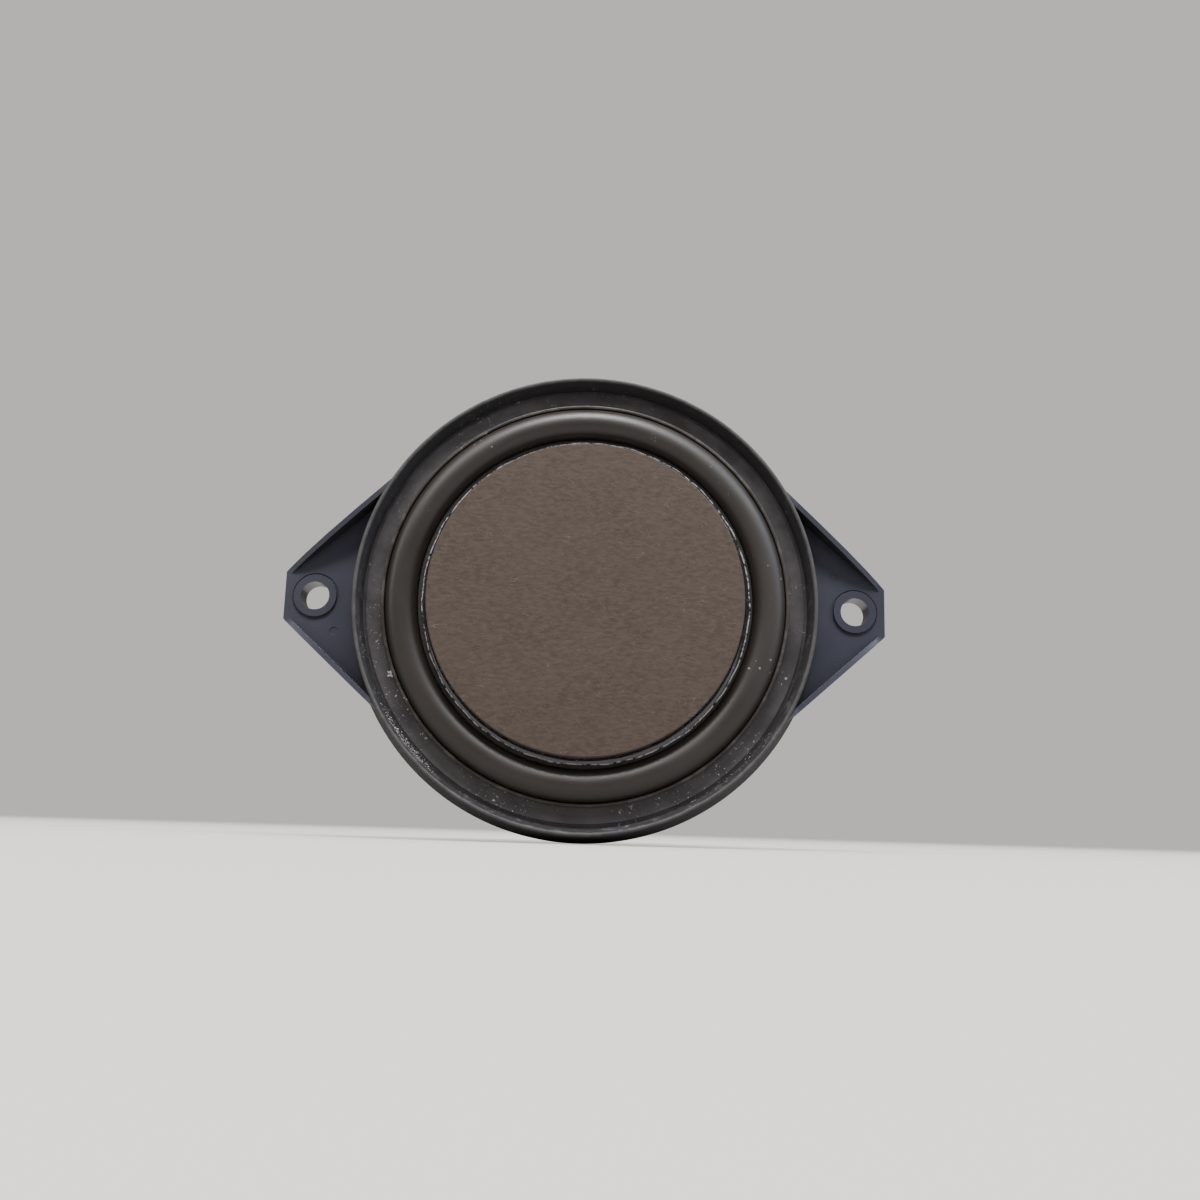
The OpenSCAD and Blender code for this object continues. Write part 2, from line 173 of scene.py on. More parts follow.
def draw_outline(name, points):
    """A closed chain of edges through points in millimetres, left in edit mode."""
    deselect_all()
    bpy.ops.mesh.primitive_plane_add(size=MM)
    piece = bpy.context.object
    piece.name = name
    bpy.ops.object.mode_set(mode="EDIT")
    bpy.ops.mesh.select_all(action="SELECT")
    bpy.ops.mesh.merge(type="CENTER")
    here = Vector(points[0]) * MM
    bpy.ops.transform.translate(value=here)
    for point in points[1:]:
        there = Vector(point) * MM
        bpy.ops.mesh.extrude_vertices_move(TRANSFORM_OT_translate={"value": there - here})
        here = there
    net = bmesh.from_edit_mesh(piece.data)
    ends = [v for v in net.verts if len(v.link_edges) == 1]
    bpy.ops.mesh.select_all(action="DESELECT")
    for v in ends:
        v.select = True
    bmesh.update_edit_mesh(piece.data)
    bpy.ops.mesh.edge_face_add()
    return piece


def finish_piece(piece, bevel=0.0, segments=2, smooth=40):
    """Merges, turns the faces outwards, breaks the edges and smooths the shading."""
    bpy.ops.object.mode_set(mode="EDIT")
    bpy.ops.mesh.select_all(action="SELECT")
    bpy.ops.mesh.remove_doubles(threshold=2e-6)
    bpy.ops.mesh.normals_make_consistent(inside=False)
    deselect_all()
    piece.select_set(True)
    bpy.context.view_layer.objects.active = piece
    bpy.ops.object.transform_apply(location=True, rotation=True, scale=True)
    if bevel:
        edges = piece.modifiers.new("broken edges", "BEVEL")
        edges.width = bevel * MM
        edges.segments = segments
        edges.limit_method = "ANGLE"
        edges.angle_limit = math.radians(SHARP_FROM)
        edges.use_clamp_overlap = True
        bpy.ops.object.modifier_apply(modifier=edges.name)
    bpy.ops.object.shade_smooth_by_angle(angle=math.radians(smooth))
    return piece


def turn(name, outline, bevel=0.0, steps=SPIN_STEPS, smooth=40):
    """Spins an outline of (radius, height) points round the speaker's axis."""
    piece = draw_outline(name, [(r, -h, 0) for r, h in outline])
    bpy.ops.mesh.select_all(action="SELECT")
    bpy.ops.mesh.spin(steps=steps, angle=math.radians(360), center=(0, 0, 0), axis=(0, 1, 0),
                      use_auto_merge=True)
    return finish_piece(piece, bevel, smooth=smooth)


def arc(middle, radius, start, end, steps):
    """Points of an arc in (radius, height) coordinates; radius may be (across, high)."""
    across, high = radius if isinstance(radius, tuple) else (radius, radius)
    turns = [math.radians(start + (end - start) * i / steps) for i in range(steps + 1)]
    return [(middle[0] + across * math.cos(a), middle[1] + high * math.sin(a)) for a in turns]


def rectangle(across, up):
    """The corners of an upright rectangle between two values across and two up."""
    (left, right), (low, high) = across, up
    return [(left, low), (right, low), (right, high), (left, high)]


print("one turned piece has", SPIN_STEPS, "steps, so a side is",
      round(2 * math.pi * 43 / SPIN_STEPS, 2), "mm long at the rim")

# %% [markdown]
# ## Shader groups
# Wear, dust and grain show on several pieces, so each is built once as a node group with its own
# inputs, and every material sets its own values. They all read the object's coordinates in
# millimetres, so a grain has the same size on every piece. A texture image could hold more, but
# it would have to be painted and unwrapped.

# %% Node helpers
def new_group(name, inputs, outputs):
    """An empty group, its input node and its output node. inputs is {name: default}."""
    group = bpy.data.node_groups.new(name, "ShaderNodeTree")
    for label, value in inputs.items():
        kind = "NodeSocketVector" if value is None else "NodeSocketFloat"
        socket = group.interface.new_socket(label, in_out="INPUT", socket_type=kind)
        if value is not None:
            socket.default_value = value
    for label in outputs:
        group.interface.new_socket(label, in_out="OUTPUT", socket_type="NodeSocketFloat")
    return group, group.nodes.new("NodeGroupInput"), group.nodes.new("NodeGroupOutput")


def math_node(tree, operation, a, b=0.0):
    """A Math node; a and b are sockets or numbers. Gives its output socket."""
    node = tree.nodes.new("ShaderNodeMath")
    node.operation = operation
    for socket, value in zip(node.inputs, (a, b)):
        if isinstance(value, (int, float)):
            socket.default_value = value
        else:
            tree.links.new(value, socket)
    return node.outputs[0]


def noise_node(tree, vector, scale, detail=3.0, rough=0.5):
    node = tree.nodes.new("ShaderNodeTexNoise")
    tree.links.new(vector, node.inputs["Vector"])
    if isinstance(scale, (int, float)):
        node.inputs["Scale"].default_value = scale
    else:
        tree.links.new(scale, node.inputs["Scale"])
    node.inputs["Detail"].default_value = detail
    node.inputs["Roughness"].default_value = rough
    return node.outputs["Fac"]


def ramp(tree, value, low, high, to_low=0.0, to_high=1.0):
    """Maps value from low..high to to_low..to_high, smoothly and clamped."""
    node = tree.nodes.new("ShaderNodeMapRange")
    node.interpolation_type = "SMOOTHSTEP"
    for label, number in (("From Min", low), ("From Max", high), ("To Min", to_low),
                          ("To Max", to_high)):
        node.inputs[label].default_value = number
    tree.links.new(value, node.inputs["Value"])
    return node.outputs["Result"]


def mapped(tree, vector, scale=(1, 1, 1), turn_by=(0, 0, 0)):
    node = tree.nodes.new("ShaderNodeMapping")
    node.inputs["Scale"].default_value = scale
    node.inputs["Rotation"].default_value = [math.radians(a) for a in turn_by]
    tree.links.new(vector, node.inputs["Vector"])
    return node.outputs["Vector"]


# %% [markdown]
# ### Dust
# A speaker that has been in a door collects pale specks. Voronoi cells give one speck a cell:
# the distance to the cell's point draws the dot, and the cell's own random colour decides whether
# that cell has one at all and how big it is. The place is pushed about by a noise first, so that
# no speck is a round dot.

# %% Dust group
PUSH = 1.1                            # how far the noise may push a place, in millimetres


def build_dust():
    group, enter, leave = new_group("dust specks", {"Vector": None, "Scale": 900.0, "Share": 0.2,
                                                    "Size": 0.3}, ["Mask"])
    wobble = group.nodes.new("ShaderNodeTexNoise")
    wobble.inputs["Scale"].default_value = 2400
    wobble.inputs["Detail"].default_value = 4
    group.links.new(enter.outputs["Vector"], wobble.inputs["Vector"])
    pushed = group.nodes.new("ShaderNodeVectorMath")
    pushed.operation = "MULTIPLY_ADD"
    group.links.new(wobble.outputs["Color"], pushed.inputs[0])
    pushed.inputs[1].default_value = (PUSH * MM, PUSH * MM, PUSH * MM)
    group.links.new(enter.outputs["Vector"], pushed.inputs[2])
    cells = group.nodes.new("ShaderNodeTexVoronoi")
    group.links.new(pushed.outputs[0], cells.inputs["Vector"])
    group.links.new(enter.outputs["Scale"], cells.inputs["Scale"])
    parts = group.nodes.new("ShaderNodeSeparateColor")
    group.links.new(cells.outputs["Color"], parts.inputs["Color"])
    present = math_node(group, "LESS_THAN", parts.outputs[0], enter.outputs["Share"])
    ragged = noise_node(group, enter.outputs["Vector"], 6000, 2)
    reach = math_node(group, "MULTIPLY", enter.outputs["Size"], parts.outputs[1])
    reach = math_node(group, "MULTIPLY", reach, math_node(group, "ADD", ragged, 0.4))
    inside = math_node(group, "LESS_THAN", cells.outputs["Distance"], reach)
    group.links.new(math_node(group, "MULTIPLY", present, inside), leave.inputs["Mask"])
    return group


DUST = build_dust()

# %% [markdown]
# ### Grain
# Moulded plastic and rubber are never quite smooth. A fine noise gives the skin of the mould and
# a broad one gives the slow change in sheen where hands and cleaning have been.

# %% Grain group
def build_grain():
    group, enter, leave = new_group("moulded grain", {"Vector": None, "Fine": 2500.0,
                                                      "Broad": 60.0}, ["Height", "Sheen"])
    fine = noise_node(group, enter.outputs["Vector"], enter.outputs["Fine"], 4, 0.6)
    broad = noise_node(group, enter.outputs["Vector"], enter.outputs["Broad"], 3, 0.55)
    group.links.new(fine, leave.inputs["Height"])
    group.links.new(broad, leave.inputs["Sheen"])
    return group


GRAIN = build_grain()

# %% [markdown]
# ### Distance from the axis
# Dust gathers in the groove and on the land, and the glue lies in a ring, so several finishes
# need to know how far out they are. This group gives three lengths in millimetres: the radius, the
# height towards the face, and how far above the axis the spot is.

# %% Radius group
def build_radius():
    group, enter, leave = new_group("place on the speaker", {"Vector": None},
                                    ["Radius", "Height", "Side"])
    parts = group.nodes.new("ShaderNodeSeparateXYZ")
    group.links.new(enter.outputs["Vector"], parts.inputs["Vector"])
    squares = [math_node(group, "POWER", parts.outputs[i], 2) for i in (0, 2)]
    radius = math_node(group, "SQRT", math_node(group, "ADD", *squares))
    for metres, per_metre, label in ((radius, 1000, "Radius"), (parts.outputs[1], -1000, "Height"),
                                     (parts.outputs[2], 1000, "Side")):
        group.links.new(math_node(group, "MULTIPLY", metres, per_metre), leave.inputs[label])
    return group


RADIUS = build_radius()
print("shader groups:", [g.name for g in (DUST, GRAIN, RADIUS)])

# %% [markdown]
# ## Finishes
# Each material starts from the same few steps: object coordinates, a Principled shader, and
# helpers that place a group, mix two colours by a mask, and turn a height into a bump.

# %% Material helpers
class Finish:
    """A material under construction, with its shader and its object coordinates."""

    def __init__(self, name, rough=0.5, metal=0.0, level=0.5):
        self.material = bpy.data.materials.new(name)
        self.material.use_nodes = True
        self.tree = self.material.node_tree
        self.shader = self.tree.nodes["Principled BSDF"]
        self.shader.inputs["Roughness"].default_value = rough
        self.shader.inputs["Metallic"].default_value = metal
        self.shader.inputs["Specular IOR Level"].default_value = level
        self.place = self.tree.nodes.new("ShaderNodeTexCoord").outputs["Object"]

    def group(self, source, **values):
        node = self.tree.nodes.new("ShaderNodeGroup")
        node.node_tree = source
        self.tree.links.new(self.place, node.inputs["Vector"])
        for label, value in values.items():
            node.inputs[label].default_value = value
        return node.outputs

    def noise(self, scale, detail=3.0, rough=0.5):
        return noise_node(self.tree, self.place, scale, detail, rough)

    def ramp(self, value, low, high, to_low=0.0, to_high=1.0):
        return ramp(self.tree, value, low, high, to_low, to_high)

    def band(self, value, low, full, last, end):
        """A mask that is 1 from full to last and fades to 0 at low and at end."""
        return self.times(self.ramp(value, low, full), self.ramp(value, last, end, 1, 0))

    def math(self, operation, a, b=0.0):
        return math_node(self.tree, operation, a, b)

    def times(self, first, *others):
        """The product of masks."""
        for other in others:
            first = self.math("MULTIPLY", first, other)
        return first

    def mix(self, mask, first, second):
        """Colour first where mask is 0 and second where it is 1; each a colour or a socket."""
        node = self.tree.nodes.new("ShaderNodeMix")
        node.data_type = "RGBA"
        self.tree.links.new(mask, node.inputs["Factor"])
        for socket, colour in ((node.inputs[6], first), (node.inputs[7], second)):
            if isinstance(colour, tuple):
                socket.default_value = (*colour, 1)
            else:
                self.tree.links.new(colour, socket)
        return node.outputs[2]

    def facing(self):
        """1 where the surface looks forward or back, 0 on walls that run along the axis."""
        parts = self.tree.nodes.new("ShaderNodeSeparateXYZ")
        way = self.tree.nodes.new("ShaderNodeTexCoord").outputs["Normal"]
        self.tree.links.new(way, parts.inputs["Vector"])
        return self.math("ABSOLUTE", parts.outputs[1])

    def near(self, spot, reach):
        """A ragged mask round a spot (x, y) on the face, both in millimetres."""
        gap = self.tree.nodes.new("ShaderNodeVectorMath")
        gap.operation = "DISTANCE"
        self.tree.links.new(mapped(self.tree, self.place, (1, 0, 1)), gap.inputs[0])
        gap.inputs[1].default_value = (spot[0] * MM, 0, spot[1] * MM)
        reached = self.times(self.ramp(self.noise(2500, 3, 0.7), 0.35, 0.65), reach * MM)
        return self.math("LESS_THAN", gap.outputs["Value"], reached)

    def colour(self, socket):
        self.tree.links.new(socket, self.shader.inputs["Base Color"])

    def rough(self, socket):
        self.tree.links.new(socket, self.shader.inputs["Roughness"])

    def bump(self, height, distance):
        """Adds a bump of so many millimetres on top of those already there."""
        node = self.tree.nodes.new("ShaderNodeBump")
        node.inputs["Distance"].default_value = distance * MM
        self.tree.links.new(height, node.inputs["Height"])
        normal = self.shader.inputs["Normal"]
        if normal.is_linked:
            self.tree.links.new(normal.links[0].from_socket, node.inputs["Normal"])
        self.tree.links.new(node.outputs["Normal"], normal)


print("a finish can:", [name for name in vars(Finish) if not name.startswith("_")])

# %% [markdown]
# ### Black moulded plastic
# The frame is glass-filled nylon: near black with a satin skin. The ears' faces are painted slate blue as a
# painted reflection of bluish light, and the rim's front edge is painted lighter as a painted highlight.
# Pale smears on the rim's inner wall grow stronger low down: partly smears, partly painted light for the lit
# lower wall. Dust lies mostly on the land and in the groove, and more of it low down, because the masks are
# steered by the distance from the axis and the height of the spot. Two patches are given as spots: dust
# swept into the groove at the lower left, and one larger crumb above it.

# %% Frame plastic
PALE_DUST = (0.5, 0.47, 0.45)
CRUMB, CRUMB_SIZE = (-35.4, -14.6), 0.8
SWEPT, SWEPT_REACH = (-42.1, -35.4), 16.2      # its middle lies outside the ring
BORE_IN, BORE_OUT, BORE_HALF = 47.8, 53.7, 2.8  # where the walls of the screw holes are


def frame_plastic():
    f = Finish("black moulded plastic", 0.4)
    grain = f.group(GRAIN, Fine=1800.0, Broad=45.0)
    place = f.group(RADIUS)
    radius, height, facing = place["Radius"], place["Height"], f.facing()
    front = f.ramp(height, 5.5, 5.8)
    low = f.ramp(place["Side"], 20, -30, 0.25, 1)

    base = f.mix(grain["Sheen"], (0.007, 0.006, 0.007), (0.013, 0.012, 0.013))
    # Painted reflection: the ears' faces are painted slate blue for the bluish light they reflect.
    ear = f.times(f.ramp(radius, 43.0, 43.3), f.ramp(facing, 0.7, 0.95))
    base = f.mix(ear, base, (0.021, 0.022, 0.035))
    # Painted highlight: the rim's front edge is painted lighter, broken up by noise.
    edge = f.times(f.ramp(height, 9.35, 9.7), f.ramp(f.noise(300, 4, 0.7), 0.3, 0.7, 0.35, 1))
    base = f.mix(edge, base, (0.045, 0.041, 0.04))
    # Pale smears on the rim's inner wall, stronger low down: partly smears, partly painted light for the lit
    # lower wall.
    smears_and_painted_light = f.ramp(f.noise(420, 5, 0.72), 0.5, 0.66, 0, 0.28)
    smears_and_painted_light = f.times(f.band(radius, 41.45, 41.6, 42.3, 42.5), smears_and_painted_light, low)
    base = f.mix(smears_and_painted_light, base, (0.16, 0.15, 0.17))
    land = f.times(f.band(radius, 37.4, 38.4, 41.7, 42.2), front)
    dusty = f.times(land, f.ramp(facing, 0.6, 0.95, 0, 0.85),
                    f.ramp(f.noise(150, 4, 0.65), 0.3, 0.68, 0.35, 1))
    base = f.mix(dusty, base, (0.06, 0.054, 0.057))

    specks = f.group(DUST, Scale=1400.0, Share=0.22, Size=0.42)["Mask"]
    fine = f.group(DUST, Scale=3200.0, Share=0.2, Size=0.4)["Mask"]
    where = f.times(land, low, f.ramp(f.noise(90, 2), 0.42, 0.62))
    dust = f.times(f.math("MAXIMUM", specks, fine), where)
    swept = f.times(f.near(SWEPT, SWEPT_REACH), f.band(radius, 41.0, 41.4, 41.8, 42.1))
    patches = f.times(f.math("MAXIMUM", f.near(CRUMB, CRUMB_SIZE), swept), front)
    f.colour(f.mix(f.math("MAXIMUM", dust, patches), base, PALE_DUST))

    in_hole = f.math("LESS_THAN", f.math("ABSOLUTE", place["Side"]), BORE_HALF)
    bore = f.times(f.band(radius, BORE_IN, BORE_IN + 0.1, BORE_OUT - 0.1, BORE_OUT), in_hole,
                   f.ramp(facing, 0.2, 0.6, 1, 0))
    satin = f.ramp(grain["Sheen"], 0.3, 0.7, 0.36, 0.48)
    polished = f.times(satin, f.math("SUBTRACT", 1, f.times(bore, 0.5)))
    walls = f.math("SUBTRACT", f.ramp(facing, 0.1, 0.75, 0.85, 0.3), f.times(bore, 0.65))
    walls = f.math("MAXIMUM", walls, f.ramp(height, 9.0, 9.4, 0, 0.66))
    f.rough(f.math("MAXIMUM", polished, walls))
    f.bump(grain["Height"], 0.012)
    return f.material


PLASTIC = frame_plastic()
print(PLASTIC.name, "has", len(PLASTIC.node_tree.nodes), "nodes")

# %% [markdown]
# ### Rubber
# The roll is butyl rubber: a soft black with a warm cast and a wide, dull highlight. It is a little smoother
# than the plastic, with a few grains of dust caught on it, and its outer lip is painted a lighter grey as a
# painted highlight, broken up by noise.

# %% Rubber
def rubber():
    f = Finish("soft black rubber", 0.5, level=0.5)
    grain = f.group(GRAIN, Fine=1300.0, Broad=35.0)
    base = f.mix(grain["Sheen"], (0.0105, 0.0072, 0.0048), (0.0175, 0.0125, 0.009))
    # Painted highlight: the outer lip is painted a lighter grey, broken up by noise.
    lip = f.times(f.ramp(f.group(RADIUS)["Radius"], 37.0, 37.4),
                  f.ramp(f.noise(260, 3, 0.7), 0.45, 0.7), 0.35)
    base = f.mix(lip, base, (0.11, 0.105, 0.1))
    specks = f.group(DUST, Scale=1500.0, Share=0.12, Size=0.36)["Mask"]
    dust = f.times(specks, f.ramp(f.noise(75, 2), 0.55, 0.7))
    f.colour(f.mix(dust, base, (0.3, 0.28, 0.26)))
    f.rough(f.ramp(grain["Sheen"], 0.3, 0.7, 0.4, 0.52))
    f.bump(grain["Height"], 0.01)
    return f.material


RUBBER = rubber()
print(RUBBER.name, "has", len(RUBBER.node_tree.nodes), "nodes")

# %% [markdown]
# ### Pressed paper
# The disc is grey-brown pressed pulp. Its fibres lie mostly one way, as they settled on the
# sieve. A noise that is stretched along X gives the streaks, and the narrow band where another
# noise crosses its middle value gives single curled fibres, some pale and some dark.

# %% Paper
ALONG_X = (0.45, 1, 1)


def fibre(f, scale, turned, width, patch_scale, patch_from):
    """A mask of thin curled lines, in patches: where a stretched noise crosses its middle value."""
    wave = noise_node(f.tree, mapped(f.tree, f.place, ALONG_X, (0, turned, 0)), scale, 1.5, 0.45)
    off_middle = f.math("ABSOLUTE", f.math("SUBTRACT", wave, 0.5))
    patches = f.ramp(f.noise(patch_scale, 2), patch_from, patch_from + 0.12)
    return f.times(f.ramp(off_middle, 0.0, width, 1, 0), patches)


def paper(name, dark, light, fibre_light, fibre_dark):
    f = Finish(name, 0.85, level=0.3)
    streaks = noise_node(f.tree, mapped(f.tree, f.place, (0.4, 1, 1)), 1700, 5, 0.68)
    base = f.mix(f.ramp(streaks, 0.3, 0.7), dark, light)
    base = f.mix(f.times(f.ramp(f.noise(130, 3, 0.6), 0.3, 0.7), 0.35), base, light)
    pale = fibre(f, 700, 12, 0.014, 700, 0.5)
    deep = fibre(f, 800, -17, 0.016, 620, 0.48)
    base = f.mix(f.times(pale, 0.6), base, fibre_light)
    f.colour(f.mix(f.times(deep, 0.55), base, fibre_dark))
    f.bump(streaks, 0.05)
    f.bump(pale, 0.03)
    return f.material


DISC_PAPER = paper("grey-brown pressed paper", (0.04, 0.0285, 0.021), (0.064, 0.047, 0.0362),
                   (0.1, 0.083, 0.07), (0.027, 0.02, 0.015))
CONE_PAPER = paper("black pressed paper", (0.014, 0.013, 0.012), (0.03, 0.028, 0.025),
                   (0.07, 0.065, 0.06), (0.008, 0.007, 0.007))
print("papers:", DISC_PAPER.name, "and", CONE_PAPER.name)

# %% [markdown]
# ### Glue
# The bead is black glue that dried glossy and uneven. A pale ragged line along its thin foot and pale flecks
# over it are painted highlights. A coat over a smooth base gives the hard glints. Which points belong to the
# foot is written on the bead's mesh when it is made.

# %% Glue
def glue():
    f = Finish("glossy dried glue", 0.12, level=0.7)
    f.shader.inputs["Coat Weight"].default_value = 0.5
    f.shader.inputs["Coat Roughness"].default_value = 0.06
    uneven, lumps, ragged = f.noise(240, 3, 0.5), f.noise(900, 3, 0.6), f.noise(1100, 4, 0.7)
    foot = f.tree.nodes.new("ShaderNodeAttribute")
    foot.attribute_name = "thin_foot"
    # Painted highlights: a pale ragged line on the thin foot and pale flecks over the glue.
    foot_highlight = f.times(f.ramp(foot.outputs["Fac"], 0.5, 0.9), f.ramp(ragged, 0.38, 0.56))
    glint_flecks = f.ramp(ragged, 0.66, 0.72, 0, 0.5)
    base = f.mix(uneven, (0.005, 0.004, 0.006), (0.016, 0.013, 0.018))
    f.colour(f.mix(f.math("MAXIMUM", foot_highlight, glint_flecks), base, (0.42, 0.4, 0.41)))
    f.rough(f.ramp(lumps, 0.35, 0.7, 0.1, 0.32))
    f.bump(uneven, 0.08)
    f.bump(lumps, 0.03)
    return f.material


GLUE = glue()
print(GLUE.name, "has", len(GLUE.node_tree.nodes), "nodes")

# %% [markdown]
# ### Metals
# Zinc plate shows faint turning lines and passivation clouds. The lines come from a noise that
# runs along the radius alone, which is what a lathe tool leaves. Tin and solder use the same
# recipe with other colours.

# %% Plated steel
def turned_metal(name, dark, light, rough, lines):
    f = Finish(name, rough, metal=1.0)
    place = f.group(RADIUS)
    rings = f.tree.nodes.new("ShaderNodeTexNoise")
    rings.noise_dimensions = "1D"
    rings.inputs["Scale"].default_value = lines
    rings.inputs["Detail"].default_value = 3
    along = f.math("ADD", place["Radius"], f.times(place["Height"], 0.7))
    f.tree.links.new(along, rings.inputs["W"])
    clouds = f.noise(70, 4, 0.6)
    spots = f.ramp(f.noise(420, 4, 0.7), 0.58, 0.72)
    base = f.mix(f.ramp(clouds, 0.3, 0.7), dark, light)
    f.colour(f.mix(f.times(spots, 0.35), base, tuple(c * 0.55 for c in dark)))
    f.rough(f.ramp(clouds, 0.3, 0.7, rough - 0.07, rough + 0.1))
    f.bump(rings.outputs["Fac"], 0.02)
    return f.material


STEEL = turned_metal("zinc plated steel", (0.25, 0.25, 0.24), (0.37, 0.365, 0.34), 0.38, 5.0)
SCREW_STEEL = turned_metal("blackened screw steel", (0.12, 0.12, 0.12), (0.2, 0.19, 0.18), 0.4, 8.0)
TIN = turned_metal("tinned brass", (0.5, 0.45, 0.33), (0.66, 0.62, 0.52), 0.3, 3.0)
SOLDER = turned_metal("bright solder", (0.5, 0.5, 0.52), (0.66, 0.66, 0.68), 0.22, 2.0)
print("metals:", [m.name for m in (STEEL, SCREW_STEEL, TIN, SOLDER)])

# %% [markdown]
# ### Ferrite
# The magnet is ground ceramic: dull grey, with tiny chips where grains broke out. The chips are
# the rare peaks of a rough noise, darkened and pressed in.

# %% Ferrite
def ferrite():
    f = Finish("ground ferrite", 0.62, level=0.4)
    grain = f.group(GRAIN, Fine=3000.0, Broad=80.0)
    chips = f.ramp(f.noise(330, 5, 0.75), 0.66, 0.72)
    base = f.mix(grain["Sheen"], (0.03, 0.03, 0.032), (0.06, 0.06, 0.064))
    f.colour(f.mix(chips, base, (0.018, 0.018, 0.019)))
    f.rough(f.ramp(grain["Sheen"], 0.3, 0.7, 0.52, 0.7))
    f.bump(grain["Height"], 0.03)
    f.bump(chips, -0.08)
    return f.material


FERRITE = ferrite()
print(FERRITE.name, "has", len(FERRITE.node_tree.nodes), "nodes")

# %% [markdown]
# ### Wire, film and cloth
# Enamelled copper shows its turns as fine rings, each painted bright on its crest and dark between turns as
# painted shade; the former is amber film, the spider is a weave stiffened with resin, and the leads are
# braided copper. A sine of the height draws the turns and wave textures draw the threads and the braid,
# because all three repeat evenly.

# %% Wire, film and cloth
TURNS_PER_MM = 5


def copper_wire():
    f = Finish("enamelled copper wire", 0.3, metal=1.0)
    turns = f.math("SINE", f.times(f.group(RADIUS)["Height"], round(2 * math.pi * TURNS_PER_MM, 1)))
    # Painted shade: each turn is painted bright copper on its crest and dark between turns.
    shade = f.ramp(turns, -1, 1)
    f.colour(f.mix(shade, (0.2, 0.06, 0.025), (0.62, 0.26, 0.11)))
    f.bump(shade, 0.06)
    return f.material


def former_film():
    f = Finish("amber film", 0.3)
    f.colour(f.mix(f.noise(150), (0.3, 0.13, 0.03), (0.42, 0.2, 0.05)))
    f.bump(f.noise(900, 2), 0.01)
    return f.material


def threads_along(f, scale, direction, turned=0, distortion=0.0):
    wave = f.tree.nodes.new("ShaderNodeTexWave")
    wave.bands_direction = direction
    wave.inputs["Scale"].default_value = scale
    wave.inputs["Distortion"].default_value = distortion
    place = mapped(f.tree, f.place, (1, 1, 1), (0, turned, 0))
    f.tree.links.new(place, wave.inputs["Vector"])
    return wave.outputs["Fac"]


def spider_cloth():
    f = Finish("resin-stiffened cloth", 0.7, level=0.3)
    threads = f.math("MAXIMUM", *(threads_along(f, 420, "X", turned, 1.2) for turned in (0, 90)))
    base = f.mix(threads, (0.16, 0.1, 0.035), (0.5, 0.35, 0.13))
    f.colour(f.mix(f.times(f.noise(160), 0.4), base, (0.3, 0.17, 0.05)))
    f.bump(threads, 0.08)
    return f.material


def braid():
    f = Finish("copper braid", 0.35, metal=1.0)
    wires = threads_along(f, 900, "DIAGONAL")
    f.colour(f.mix(wires, (0.25, 0.1, 0.05), (0.7, 0.42, 0.26)))
    f.bump(wires, 0.08)
    return f.material


def board_resin():
    f = Finish("moulded board", 0.55)
    grain = f.group(GRAIN, Fine=1500.0, Broad=120.0)
    f.colour(f.mix(grain["Sheen"], (0.035, 0.022, 0.015), (0.07, 0.045, 0.03)))
    f.bump(grain["Height"], 0.03)
    return f.material


COPPER, FILM, CLOTH, BRAID, BOARD = (make() for make in (copper_wire, former_film, spider_cloth,
                                                         braid, board_resin))
print("materials:", len(bpy.data.materials))

# %% [markdown]
# ## The frame moulding
# The frame is one injection moulding: a ring with a thin raised rim, a flat land for the rubber,
# a narrow groove that keeps dust off it, and behind the ring a windowed cone that carries the
# motor. Spinning the full cross-section gives the ring and the cone at once. The windows and the
# pockets under the ring are cut with booleans, because they repeat round the ring and one cutter
# can be copied.

# %% Frame cross-section
RIM_FRONT = -RING_LOW.y / MM          # the rim's front edge is the ring's furthest point forward
RIM_R, RIM_WALL = 43.0, 0.75
RING_R, RING_BACK = RING_HIGH.z / MM, 2.0
LAND, LAND_R, GROOVE_DEEP = 6.8, 40.8, 0.6
THROAT_R, WALL_TOP, WALL_FOOT = 35.6, (38.6, 2.0), (28.0, -7.5)
LEDGE, LEDGE_R, WELL_R, FLOOR = -4.65, 22.2, 23.6, -11.8
FLOOR_HOLE_R, FLOOR_THICK, LEDGE_THICK = 15.5, 1.9, 1.55
WALL_RUN = Vector(WALL_TOP) - Vector(WALL_FOOT)
WALL_DIR = WALL_RUN.normalized()
WALL_IN = 2.0 * Vector((-WALL_DIR.y, WALL_DIR.x))


def wall_inner(height=None, radius=None):
    """The conical wall's inner radius at a height, or its height at a radius."""
    start = Vector(WALL_FOOT) + WALL_IN
    if radius is None:
        return start.x + (height - start.y) * WALL_RUN.x / WALL_RUN.y
    return start.y + (radius - start.x) * WALL_RUN.y / WALL_RUN.x


def rim_points():
    """The rim's front edge, rounded over its small wall."""
    inner = RIM_R - RIM_WALL
    return [(inner - 0.02, RIM_FRONT - 0.34), (inner + 0.1, RIM_FRONT - 0.1),
            (inner + 0.24, RIM_FRONT), (RIM_R - 0.22, RIM_FRONT),
            (RIM_R - 0.06, RIM_FRONT - 0.12), (RIM_R + 0.02, RIM_FRONT - 0.34)]


